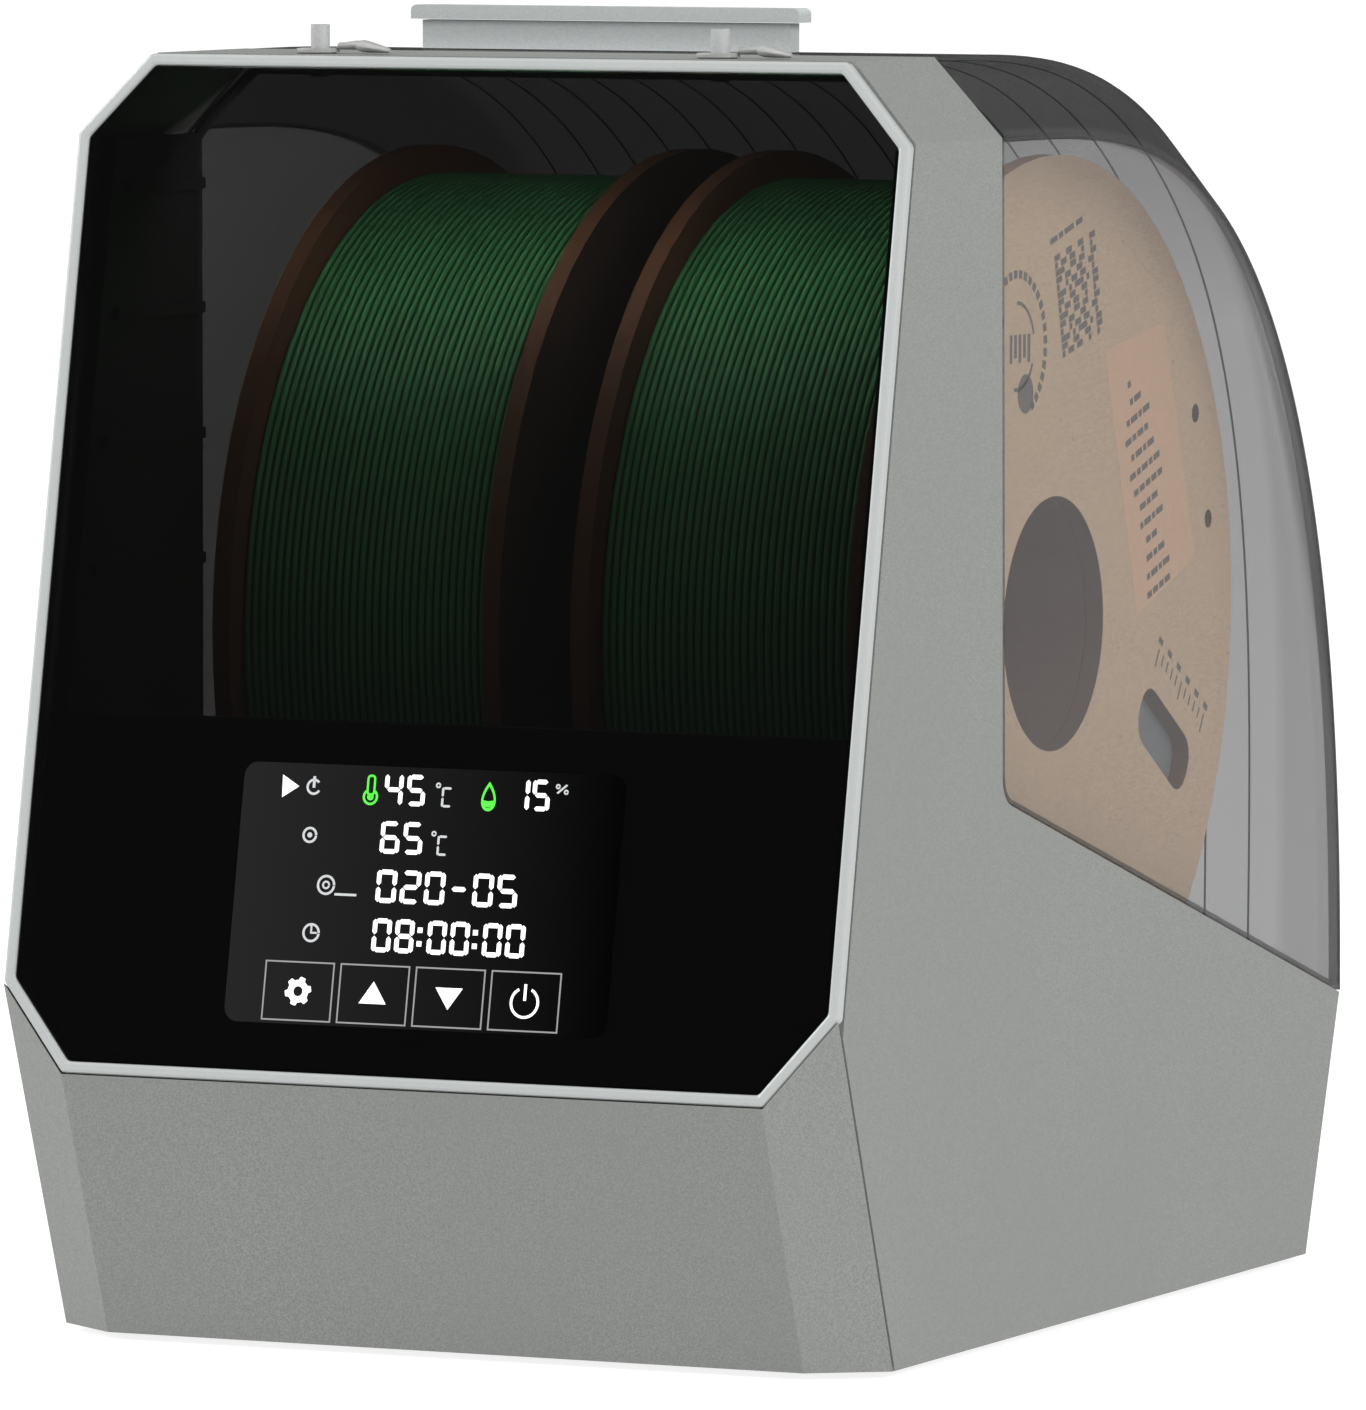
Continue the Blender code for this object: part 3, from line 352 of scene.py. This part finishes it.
NODE_LOOKS = {
    GREY: ("main_housing", "lower_front_cover"),
    HANDLE_GREY: ("handle_stem", "handle_cap"),
    BEZEL_GREY_LIT: ("front_bezel",),
    WINDOW: ("front_window",),
    PANE: ("lid_left_pane", "lid_right_pane"),
    PRINT: ("control_panel_mask",),
    DISPLAY: ("display_module",),
    BLACK: ("base_plate", "left_inner_liner", "right_inner_liner", "spool_tray", "air_grille",
            "left_roller_rail", "centre_roller_rail", "right_roller_rail", "fan_housing",
            "fan_impeller", "humidity_sensor", "power_inlet"),
    RUBBER: ("foot_front_left", "foot_front_right", "foot_rear_left", "foot_rear_right",
             "lid_gasket"),
    STEEL: ("base_screw_front_left", "base_screw_front_right", "base_screw_rear_left",
            "base_screw_rear_right", "front_axle", "rear_axle", "left_front_roller",
            "right_front_roller", "left_rear_roller", "right_rear_roller", "left_hinge_pin",
            "right_hinge_pin"),
    ALUMINIUM: ("heater_block",),
    BOARD: ("display_board", "power_board", "main_board"),
    TUBE: ("left_outlet_tube", "right_outlet_tube"),
    SILICONE: ("left_outlet_grommet", "right_outlet_grommet", "left_outlet_plug",
               "right_outlet_plug"),
    CARD: tuple(f"{hand}_spool_{part}" for hand, _ in SIDES
                for part in ("inner_flange", "outer_flange", "core")),
    FILAMENT: ("left_filament_winding", "right_filament_winding"),
    LID_SMOKE: ("lid_shell",),
}


def paint_nodes():
    for look, names in NODE_LOOKS.items():
        for name in names:
            for holder in NODES[name].material_slots:
                holder.material = look


# ==== mesh helpers ============================================================================
def world(x, y, z):
    return Vector((x, y, z)) * MM


def on_front(x, up, proud=0.0):
    """World point at x, a distance up the leaning front and a height above its surface."""
    sine, cosine = math.sin(LEAN_ANGLE), math.cos(LEAN_ANGLE)
    return world(x, CHIN_Y + up * sine - proud * cosine, CHIN_Z + up * cosine + proud * sine)


def on_flange(side):
    """A function that puts (across, up, proud) on a spool's outer face."""
    def point(across, up, proud=0.0):
        return world(side * (SPOOL_OUTER_X + proud), SPOOL_Y + side * across, SPOOL_Z + up)
    return point


def bridge(shape, first, second):
    """Faces between two closed rows with the same count of points."""
    count = len(first)
    for i in range(count):
        j = (i + 1) % count
        shape.faces.new((first[i], first[j], second[j], second[i]))


def add_piece(name, shape, look, body, smooth=None):
    """A new piece on a body; smooth is the angle above which its edges stay sharp."""
    bmesh.ops.recalc_face_normals(shape, faces=shape.faces)
    mesh = bpy.data.meshes.new(name)
    shape.to_mesh(mesh)
    shape.free()
    mesh.materials.append(look)
    if smooth is not None:
        mesh.shade_smooth()
        mesh.set_sharp_from_angle(angle=math.radians(smooth))
    made = bpy.data.objects.new(name, mesh)
    bpy.context.scene.collection.objects.link(made)
    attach(made, body)
    return made


def prism(shape, outline, surface, low, high):
    """A flat outline, anticlockwise seen from outside, raised between two heights."""
    bottom = [shape.verts.new(surface(x, up, low)) for x, up in outline]
    top = [shape.verts.new(surface(x, up, high)) for x, up in outline]
    shape.faces.new(top)
    shape.faces.new(list(reversed(bottom)))
    bridge(shape, bottom, top)


def band(shape, outer, inner, surface, low, high):
    """A closed ring between two outlines with the same count of points."""
    rings = [[shape.verts.new(surface(x, up, height)) for x, up in outline]
             for outline, height in ((outer, low), (outer, high), (inner, high), (inner, low))]
    for first, second in zip(rings, rings[1:] + rings[:1]):
        bridge(shape, first, second)


def marks(name, prisms, bands, surface, look, body, low=0.02, high=0.10):
    """One piece made of small raised marks on a surface."""
    shape = bmesh.new()
    for outline in prisms:
        prism(shape, outline, surface, low, high)
    for outer, inner in bands:
        band(shape, outer, inner, surface, low, high)
    return add_piece(name, shape, look, body)


def rectangle(x0, x1, up0, up1):
    return [(x0, up0), (x1, up0), (x1, up1), (x0, up1)]


def disc(x, up, radius, count=24, start=0.0):
    return [(x + radius * math.cos(start + math.tau * k / count),
             up + radius * math.sin(start + math.tau * k / count)) for k in range(count)]


def arc_band(x, up, outer, inner, start, end, count=20):
    """An outline of an open ring from a start to an end angle, in degrees."""
    angles = [math.radians(start + (end - start) * k / count) for k in range(count + 1)]
    far = [(x + outer * math.cos(a), up + outer * math.sin(a)) for a in angles]
    near = [(x + inner * math.cos(a), up + inner * math.sin(a)) for a in reversed(angles)]
    return far + near


def rounded_corner(before, here, after, radius, steps):
    """Points of the arc that rounds the corner here between its two neighbours."""
    before, here, after = Vector(before), Vector(here), Vector(after)
    to_before = (before - here).normalized()
    to_after = (after - here).normalized()
    half_angle = to_before.angle(to_after) / 2
    run = radius / math.tan(half_angle)
    centre = here + (to_before + to_after).normalized() * radius / math.sin(half_angle)
    start = here + to_before * run - centre
    sweep = start.angle_signed(here + to_after * run - centre)
    return [tuple(centre + Matrix.Rotation(-sweep * k / steps, 2) @ start)
            for k in range(steps + 1)]


def rounded(outline, radius, steps=5):
    """The outline with its corners turned into arcs."""
    count = len(outline)
    points = []
    for i in range(count):
        before, after = outline[i - 1], outline[(i + 1) % count]
        points += rounded_corner(before, outline[i], after, radius, steps)
    return points


def inset(outline, distance):
    """The closed outline moved inwards by a distance; the points run anticlockwise."""
    count = len(outline)
    moved = []
    for i in range(count):
        before, here, after = (Vector(outline[k % count]) for k in (i - 1, i, i + 1))
        arriving = (here - before).normalized()
        leaving = (after - here).normalized()
        inward = Vector((-arriving.y - leaving.y, arriving.x + leaving.x)).normalized()
        reach = distance / max(0.2, inward.dot(Vector((-arriving.y, arriving.x))))
        moved.append(tuple(here + inward * reach))
    return moved


def grid_faces(shape, rows, closed=False):
    """Faces between open rows; closed joins the last row to the first."""
    for first, second in zip(rows, rows[1:] + (rows[:1] if closed else [])):
        for i in range(len(first) - 1):
            shape.faces.new((first[i], first[i + 1], second[i + 1], second[i]))


def soften(target, width):
    """Small rounded edges, width millimetres wide."""
    bevel = target.modifiers.new("soft_edges", "BEVEL")
    bevel.width = width * MM
    bevel.segments = 2
    bevel.limit_method = "ANGLE"
    bevel.angle_limit = math.radians(30)
    bevel.harden_normals = True


# ==== lid =====================================================================================
def lid_crease(turn):
    """Point (y, z) of the side crease and the outward direction there."""
    theta = min(max(turn * math.pi / 2, 0.001), math.pi / 2 - 0.001)
    sine, cosine = math.sin(theta), math.cos(theta)
    reach = LID_BACK_Y - LID_FRONT_Y
    drop = SHOULDER_Z - LID_FOOT_Z
    point = Vector((LID_FRONT_Y + reach * sine ** LID_TOP_POWER,
                    LID_FOOT_Z + drop * cosine ** LID_BACK_POWER))
    if turn == 0:
        point.x = LID_FRONT_Y
    along = Vector((reach * LID_TOP_POWER * sine ** (LID_TOP_POWER - 1) * cosine,
                    -drop * LID_BACK_POWER * cosine ** (LID_BACK_POWER - 1) * sine))
    along.normalize()
    return point, Vector((-along.y, along.x))


def shoulder_rise(turn):
    """Height of the roof's ridge over the crease: full on top, fading to none at the back."""
    fade = min(max((turn - 0.42) / 0.58, 0), 1)
    return 0.6 + (TOP_Z - SHOULDER_Z - 0.6) * math.cos(fade * math.pi / 2) ** 1.6


def roof_section(rise):
    """Half of the lid's cross-section from the side crease to the middle, as (x, rise)."""
    ease = 1.6
    face = math.hypot(HALF_WIDTH - RIDGE_X, rise)
    slope = Vector((RIDGE_X - HALF_WIDTH, rise)) / face
    crease, ridge = Vector((HALF_WIDTH, 0)), Vector((RIDGE_X, rise))
    before, after = ridge - slope * ease, ridge + Vector((-ease, 0))
    bend = [before.lerp(ridge, t).lerp(ridge.lerp(after, t), t) for t in (0, 0.25, 0.5, 0.75, 1)]
    flat = [Vector((x, rise)) for x in (60.0, 40.0, 20.0, 0.0)]
    return [crease] + bend + flat


def stations():
    """Turns along the lid's profile, closer where the first ones spread far apart."""
    early = [0.0, 0.0006, 0.002, 0.005, 0.01, 0.017]
    return early + [0.025 + 0.975 * k / 70 for k in range(71)]


def roof_point(turn, x, rise, lift=0.0):
    point, outward = lid_crease(turn)
    moved = point + outward * (rise + lift)
    return world(x, moved.x, moved.y)


def lid_outline():
    """The lid's side seen from +X, anticlockwise as (y, z)."""
    start, end = (LID_FRONT_Y, SHOULDER_Z), (LID_BACK_Y, LID_FOOT_Z + 0.3)
    bend = rounded_corner(start, LID_CORNER, end, LID_CORNER_RADIUS, 8)
    arch = [tuple(lid_crease(turn)[0]) for turn in reversed(stations())]
    return bend + [end] + arch[1:]


def lid_roof():
    """Roof and back of the lid in one sheet whose outer side carries the smoked tint."""
    shape = bmesh.new()
    rows = []
    for turn in stations():
        half = roof_section(shoulder_rise(turn))
        section = half + [Vector((-p.x, p.y)) for p in reversed(half[:-1])]
        rows.append([shape.verts.new(roof_point(turn, p.x, p.y)) for p in section])
    grid_faces(shape, rows)
    roof = add_piece("lid_roof", shape, LID_SMOKE, "lid", 34)
    thick = roof.modifiers.new("wall", "SOLIDIFY")
    thick.thickness = LID_WALL * MM
    thick.offset = -1
    thick.use_even_offset = True
    thick.material_offset = 1
    roof.data.materials.append(LID_INNER)
    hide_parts("lid_shell")


def lid_ribs():
    """Fine moulded ribs along the inside of the roof and back."""
    for index in range(RIB_COUNT):
        x = RIB_PITCH * (index - RIB_COUNT // 2)
        shape = bmesh.new()
        rows = []
        for turn in stations()[3:-1]:
            rise = shoulder_rise(turn) - LID_WALL
            corners = ((x - 0.25, 0.05), (x + 0.25, 0.05), (x + 0.2, -0.12), (x - 0.2, -0.12))
            rows.append([shape.verts.new(roof_point(turn, px, rise, lift))
                         for px, lift in corners])
        for first, second in zip(rows, rows[1:]):
            bridge(shape, first, second)
        shape.faces.new(rows[0])
        shape.faces.new(rows[-1])
        add_piece(f"lid_rib_{index + 1}", shape, RIB, "lid", 40)


def lid_rims():
    """Each side's clear pane and the dark edge strip round it."""
    outline = lid_outline()
    hole = inset(outline, LID_RIM)
    for hand, side in SIDES:
        def on_side(y, z, proud, side=side):
            return world(side * (HALF_WIDTH + proud), y, z)
        shape = bmesh.new()
        band(shape, outline, hole, on_side, -LID_SIDE_WALL, 0.0)
        add_piece(f"lid_{hand}_rim", shape, RIM_SMOKE, "lid", 30)

        shape = bmesh.new()
        prism(shape, hole, on_side, -LID_SIDE_WALL, -0.1)
        pane = add_piece(f"lid_{hand}_clear_side", shape, PANE, "lid", 30)
        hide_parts(f"lid_{hand}_pane")


def lid_knuckles():
    """The lid's hinge eyes, each with a web up to the back."""
    y, z = HINGE
    for hand, side in SIDES:
        shape = bmesh.new()
        outer = disc(y, z, 3.0, 28)
        inner = disc(y, z, 1.5, 28)

        def across(py, pz, proud, side=side):
            return world(side * 60 + proud, py, pz)
        band(shape, outer, inner, across, -6.0, 6.0)
        web = [(CHIN_Y + 276.6, 59.6), (y - 1.2, z + 2.4), (y + 1.8, z + 2.2),
               (CHIN_Y + 277.2, 66.5)]
        prism(shape, web, across, -5.9, 5.9)
        add_piece(f"lid_{hand}_knuckle", shape, RIM_SMOKE, "lid", 40)


# ==== spools ==================================================================================
def winding(hand, side):
    """Level-wound strand: one rounded ridge for every turn across the spool."""
    start = side * (SPOOL_INNER_X + SPOOL_OUTER_X) / 2 - WINDING_WIDTH / 2
    profile = [(start, CORE_RADIUS + 0.3)]
    for turn in range(STRAND_TURNS):
        for k in range(7):
            angle = math.pi * (1 - k / 6)
            if turn and k == 0:
                continue
            half = STRAND_PITCH / 2
            profile.append((start + (turn + 0.5) * STRAND_PITCH + half * math.cos(angle),
                            WINDING_RADIUS - half * (1 - math.sin(angle))))
    profile.append((start + WINDING_WIDTH, CORE_RADIUS + 0.3))
    shape = bmesh.new()
    steps = 144
    rows = []
    for k in range(steps):
        angle = math.tau * k / steps
        sine, cosine = math.sin(angle), math.cos(angle)
        rows.append([shape.verts.new(world(x, SPOOL_Y + r * cosine, SPOOL_Z + r * sine))
                     for x, r in profile])
    grid_faces(shape, [row + row[:1] for row in rows], closed=True)
    wound = add_piece(f"{hand}_wound_strand", shape, FILAMENT, f"spool_{hand}",
                      50)
    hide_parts(f"{hand}_filament_winding")


def slanted(origin, across_step, up_step):
    """A function that places (column, row) on a grid with slanted steps."""
    def place(column, row):
        return (origin[0] + column * across_step[0] + row * up_step[0],
                origin[1] + column * across_step[1] + row * up_step[1])
    return place


def cell(place, column, row, width, height):
    return [place(column, row), place(column + width, row), place(column + width, row + height),
            place(column, row + height)]


def flange_prints(hand, side):
    """Generic marks on a spool's outer face: a dot patch, a stamp, a label and a gauge."""
    surface = on_flange(side)
    body = f"spool_{hand}"

    def print_on(name, outlines, look, low, high):
        marks(f"{hand}_spool_{name}", outlines, [], surface, look, body, low, high)

    patch = slanted((4.5, 56.5), (1.58, 0.36), (-0.36, 1.58))
    cells = []
    for row in range(14):
        column = 0
        while column < 14:
            run = 1 + (row * 7 + column * 5 + row * column) % 3
            run = min(run, 14 - column)
            cells.append(cell(patch, column, row, run - 0.12, 0.86))
            column += run + 1 + (row + column * 3) % 2
    caption = slanted((-2.5, 80.8), (1.55, 0.40), (-0.36, 1.5))
    for column, length in ((0, 2.4), (3, 1.4), (5, 3.2), (9, 2.2)):
        cells.append(cell(caption, column, 0, length, 0.8))
    print_on("patch_print", cells, INK, 0.02, 0.06)

    ring = [arc_band(-20.5, 60, 16.2, 14.4, start, start + 6.5, 3) for start in range(-60, 120, 10)]
    ring += [arc_band(-20.5, 60, 9.6, 8.8, start, start + 75, 10) for start in (15, 140, 260)]
    ring += [rectangle(-22 + step * 2.4, -20.6 + step * 2.4, 57.5 - step % 2, 62.5)
             for step in range(-1, 4)]
    ring.append(disc(-15.8, 49.8, 4.2))
    print_on("stamp_print", ring, INK, 0.02, 0.06)

    label = [(27.5, 57.0), (46.0, -1.0), (79.0, 10.0), (60.5, 62.0)]
    print_on("label", [list(reversed(rounded(label[::-1], 1.0)))], PEACH, 0.01, 0.04)
    lines = []
    starts = (6, 6, 3, 1, 3, 1, 2, 4, 3, 5, 4, 3, 2)
    ends = (8, 9, 13, 14, 16, 15, 17, 13, 14, 11, 13, 12, 15)
    for row, (column, last) in enumerate(zip(starts, ends)):
        place = slanted((34.5 + row * 1.3, 46.5 - row * 3.75), (1.0, 0.30), (-0.27, 0.9))
        while column < last:
            length = 1.6 + (column * 5 + row * 3) % 3 * 0.8
            lines.append(cell(place, column, 0, length, 1.5))
            column += length + 0.7
    print_on("label_lines", lines, INK, 0.04, 0.08)

    gauge = []
    place = slanted((58.5, -9.0), (0.848, -0.53), (0.53, 0.848))
    for k in range(11):
        size = 4.4 if k % 5 == 0 else 2.6
        gauge.append(cell(place, k * 3.0, -size, 0.55, size))
        if k % 2 == 0:
            gauge.append(cell(place, k * 3.0 - 1.0, 1.2, 2.4, 1.4))
    print_on("gauge_print", gauge, INK, 0.02, 0.06)


def slot_film(hand, side):
    """Grey film behind the gauge slot of the outer flange."""
    def inside(across, up, proud):
        return world(side * (SPOOL_OUTER_X - FLANGE + proud), SPOOL_Y + side * across,
                     SPOOL_Z + up)
    shape = bmesh.new()
    place = slanted((61.5, -29.0), (0.848, -0.53), (0.53, 0.848))
    prism(shape, rounded(cell(place, -17.5, -8, 35, 16), 7.0), inside, -0.25, -0.05)
    add_piece(f"{hand}_slot_film", shape, FILM, f"spool_{hand}")


# ==== display =================================================================================
SEGMENTS = {"0": "abcdef", "1": "bc", "2": "abged", "4": "fgbc", "5": "afgcd", "6": "afgedc",
            "8": "abcdefg", "-": "g", "C": "afed"}


def segment_outlines(symbol, x, up, width, height, thick):
    """Seven-segment strokes of one symbol whose lower left corner is (x, up)."""
    gap = thick * 0.16
    half = height / 2
    bevel = thick / 2

    def level(low):
        return [(x + bevel + gap, low), (x + thick + gap, low - bevel),
                (x + width - thick - gap, low - bevel), (x + width - bevel - gap, low),
                (x + width - thick - gap, low + bevel), (x + thick + gap, low + bevel)]

    def upright(left, low):
        high = low + half
        return [(left, low + bevel + gap), (left + bevel, low + gap),
                (left + thick, low + bevel + gap), (left + thick, high - bevel - gap),
                (left + bevel, high - gap), (left, high - bevel - gap)]

    strokes = {"a": level(up + height - bevel), "g": level(up + half), "d": level(up + bevel),
               "f": upright(x, up + half), "e": upright(x, up),
               "b": upright(x + width - thick, up + half), "c": upright(x + width - thick, up)}
    return [strokes[letter] for letter in SEGMENTS[symbol]]


def number(text, x, up, width, height, thick, pitch):
    """Outlines of a row of symbols; a colon takes less room than a digit."""
    outlines = []
    for symbol in text:
        if symbol == ":":
            for rise in (0.3, 0.7):
                middle = (x + thick * 0.4, up + height * rise)
                half = thick * 0.55
                outlines.append(rectangle(middle[0] - half, middle[0] + half,
                                          middle[1] - half, middle[1] + half))
            x += pitch * 0.42
        else:
            outlines += segment_outlines(symbol, x, up, width, height, thick)
            x += pitch
    return outlines


def glow(name, prisms, bands, look):
    """Lit marks just proud of the front window."""
    return marks(name, prisms, bands, on_front, look, "housing", -0.40, -0.34)


def display():
    """Screen with four rows of symbols and digits over four keys."""
    backing = rounded(rectangle(-43.4, 43.6, 12.4, 66.4), 3.0)
    marks("display_screen", [backing], [], on_front, DISPLAY, "housing", -0.47, -0.42)

    left, row_1, row_2 = -11.0, 58.4, 48.4
    digits = number("45", left, row_1, 4.2, 6.5, 0.95, 5.1)
    digits += number("15", 18.0, row_1, 4.0, 6.5, 0.95, 4.6)
    digits += number("65", left, row_2, 4.4, 6.7, 0.95, 5.2)
    digits += number("020-05", left, 38.2, 4.6, 6.9, 1.0, 5.5)
    digits += number("08:00:00", left, 28.0, 4.3, 7.0, 1.0, 5.2)
    glow("display_digits", digits, [], WHITE)

    small = []
    for x, up in ((0.9, row_1), (0.8, row_2)):
        small.append(arc_band(x + 0.3, up + 4.5, 0.6, 0.25, 0, 350, 12))
        small += number("C", x + 1.2, up, 2.5, 4.2, 0.5, 0)
    small.append(arc_band(28.3, 63.6, 0.55, 0.22, 0, 350, 12))
    small.append(arc_band(30.2, 62.5, 0.55, 0.22, 0, 350, 12))
    small.append([(28.0, 62.3), (28.4, 62.1), (30.5, 63.9), (30.1, 64.1)])
    glow("display_units", small, [], PALE)

    labels = [arc_band(-27.2, 61.6, 1.7, 1.2, 40, 330, 18),
              rectangle(-27.5, -26.9, 61.4, 63.8),
              arc_band(-27.2, 51.6, 1.7, 1.2, 0, 355, 22), disc(-27.2, 51.6, 0.55, 16),
              arc_band(-22.5, 41.4, 2.1, 1.6, 0, 355, 22),
              arc_band(-22.5, 41.4, 0.9, 0.5, 0, 355, 16),
              rectangle(-20.4, -15.4, 39.3, 39.8),
              arc_band(-25.0, 31.4, 2.0, 1.5, 0, 355, 22),
              rectangle(-25.2, -24.8, 31.2, 32.9), rectangle(-25.0, -23.7, 31.2, 31.6)]
    glow("display_labels", labels, [], PALE)

    glow("display_pointer", [[(-34.3, 59.2), (-30.6, 61.6), (-34.5, 63.9)]], [], WHITE)
    stem = rounded([(-15.1, 60.2), (-13.1, 60.2), (-13.1, 64.6), (-15.1, 64.6)], 0.9)
    bulb = arc_band(-14.1, 60.0, 1.75, 1.25, 130, 410, 24)
    drop = [(12.8 + 2.1 * math.sin(a) * math.sin(a / 2) ** 0.9, 61.0 + 3.2 * math.cos(a) * 0.95)
            for a in [math.tau * k / 28 for k in range(28)]]
    inner_drop = [(12.8 + (x - 12.8) * 0.72, 60.85 + (up - 61.0) * 0.74) for x, up in drop]
    core = arc_band(12.8, 60.0, 1.25, 0.01, 170, 370, 16)
    glow("display_icons", [bulb, disc(-14.1, 60.0, 0.75, 18), core],
         [(stem, inset(stem, 0.45)), (drop, inner_drop)], GREEN)

    frames = []
    for x in (-34.8, -17.6, -0.4, 16.8):
        key = rectangle(x, x + 15.9, 13.0, 25.4)
        frames.append((key, inset(key, 0.32)))
    glow("key_outlines", [], frames, OUTLINE)

    gear_x, gear_up = -26.85, 19.2
    gear = []
    for k in range(48):
        tooth = 3.0 if (k // 4) % 2 == 0 else 2.35
        angle = math.tau * k / 48
        gear.append((gear_x + tooth * math.cos(angle), gear_up + tooth * math.sin(angle)))
    hub = disc(gear_x, gear_up, 1.05, 48)
    icons = [[(-12.8, 17.3), (-6.6, 17.3), (-9.7, 21.9)], [(4.4, 21.3), (7.5, 16.8), (10.6, 21.3)],
             arc_band(24.75, 19.0, 3.3, 2.75, 118, 422, 34), rectangle(24.45, 25.05, 19.4, 22.8)]
    glow("key_icons", icons, [(gear, hub)], WHITE)


# ==== outlets =================================================================================
def plug_shape(hand, side):
    """Soft stopper: a hollow barrel that points at the tube and a leaf-shaped finger tab."""
    x0, y0, z0 = side * OUTLET_X, OUTLET_Y, TOP_Z
    shape = bmesh.new()

    def ring(x, half_y, half_z, height):
        angles = [math.tau * k / 16 for k in range(16)]
        return [shape.verts.new(world(x0 + x, y0 + half_y * math.cos(angle),
                                      z0 + height + half_z * math.sin(angle)))
                for angle in angles]

    rings = [ring(6.2, 0.45, 0.36, 1.7), ring(4.5, 0.5, 0.40, 1.65), ring(4.35, 0.75, 0.60, 1.65),
             ring(4.6, 0.9, 0.72, 1.65), ring(5.7, 0.92, 0.74, 1.68),
             ring(8.4, 0.95, 0.90, 1.9), ring(9.2, 1.7, 1.10, 1.7),
             ring(10.2, 2.3, 1.30, 1.65), ring(11.6, 2.5, 1.15, 1.45), ring(13.6, 2.3, 0.85, 1.15),
             ring(15.6, 1.6, 0.55, 0.85), ring(16.2, 0.8, 0.25, 0.70)]
    for first, second in zip(rings, rings[1:]):
        bridge(shape, first, second)
    shape.faces.new(rings[0])
    shape.faces.new(list(reversed(rings[-1])))
    plug = add_piece(f"{hand}_stopper", shape, SILICONE, f"plug_{hand}", 40)
    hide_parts(f"{hand}_outlet_plug")


def grommet_shape(hand, side):
    """Flat washer round the foot of the tube."""
    def on_top(x, y, height):
        return world(side * OUTLET_X + x, OUTLET_Y + y, TOP_Z + height)

    shape = bmesh.new()
    prism(shape, disc(-0.8, 0, 4.3, 32), on_top, 0.1, 1.15)
    washer = add_piece(f"{hand}_washer", shape, SILICONE, "housing", 40)
    soften(washer, 0.3)


# ==== studio ==================================================================================
def studio():
    """White surroundings that darken to the back, a pale floor and the lights."""
    scene = bpy.context.scene
    scene.view_settings.view_transform = "Standard"
    world_look = bpy.data.worlds.new("soft_white")
    scene.world = world_look
    world_look.use_nodes = True
    background = world_look.node_tree.nodes["Background"]
    background.inputs["Strength"].default_value = 0.80
    tree = world_look.node_tree
    direction = tree.nodes.new("ShaderNodeTexCoord")
    parts = tree.nodes.new("ShaderNodeSeparateXYZ")
    ramp = tree.nodes.new("ShaderNodeMapRange")
    for socket, value in zip(("From Min", "From Max", "To Min", "To Max"), (0.1, 0.8, 1, 0.06)):
        ramp.inputs[socket].default_value = value
    tree.links.new(direction.outputs["Generated"], parts.inputs["Vector"])
    tree.links.new(parts.outputs["Y"], ramp.inputs["Value"])
    tree.links.new(ramp.outputs["Result"], background.inputs["Color"])

    mesh = bpy.data.meshes.new("floor")
    mesh.from_pydata([(-60, -60, 0), (60, -60, 0), (60, 60, 0), (-60, 60, 0)], [], [(0, 1, 2, 3)])
    floor = bpy.data.objects.new("floor", mesh)
    scene.collection.objects.link(floor)
    pale = Look("pale_floor", (0.30, 0.30, 0.30), 0.9)
    pale.set("Specular IOR Level", 0.0)
    pale.set("Emission Color", (1.0, 1.0, 1.0, 1.0))
    pale.set("Emission Strength", 0.85)
    mesh.materials.append(pale.made)

    def area(name, place, aim, size, power, depth=None):
        data = bpy.data.lights.new(name, "AREA")
        data.shape = "RECTANGLE"
        data.size = size
        data.size_y = depth or size
        data.energy = power
        light = bpy.data.objects.new(name, data)
        light.location = place
        light.rotation_euler = (Vector(aim) - Vector(place)).to_track_quat("-Z", "Y").to_euler()
        scene.collection.objects.link(light)
        light.visible_camera = False

    area("key", (3.2, -1.2, 1.9), (0, 0, 0.15), 2.0, 92)
    area("left", (-3.0, -0.8, 1.6), (0, 0, 0.15), 1.6, 68)
    area("top", (0.3, 0.2, 3.2), (0, 0, 0.2), 1.6, 30)
    area("inside", (0, -0.068, 0.252), (0, -0.035, 0.215), 0.15, 0.42, 0.012)
    area("inside_fill", (0, -0.108, 0.170), (0, -0.02, 0.155), 0.15, 0.055, 0.07)


def camera():
    """Long lens from the front right, a little above the lid."""
    data = bpy.data.cameras.new("camera")
    data.sensor_width = 36.0
    data.lens = 325.78
    data.clip_end = 200
    made = bpy.data.objects.new("camera", data)
    made.location = world(1135.8, -2480.1, 332.8)
    yaw, pitch, roll = math.radians(24.658), math.radians(4.304), math.radians(-0.083)
    turn = Matrix.Rotation(yaw, 4, "Z") @ Matrix.Rotation(math.pi / 2 - pitch, 4, "X")
    made.rotation_euler = (turn @ Matrix.Rotation(-roll, 4, "Z")).to_euler()
    bpy.context.scene.collection.objects.link(made)
    bpy.context.scene.camera = made


camera()
studio()
paint_nodes()
for softened, width in (("main_housing", 0.35), ("lower_front_cover", 0.35),
                        ("handle_stem", 0.3), ("handle_cap", 0.35)):
    soften(NODES[softened], width)
lid_roof()
lid_ribs()
lid_rims()
lid_knuckles()
for hand, side in SIDES:
    winding(hand, side)
    flange_prints(hand, side)
    slot_film(hand, side)
    plug_shape(hand, side)
    grommet_shape(hand, side)
display()
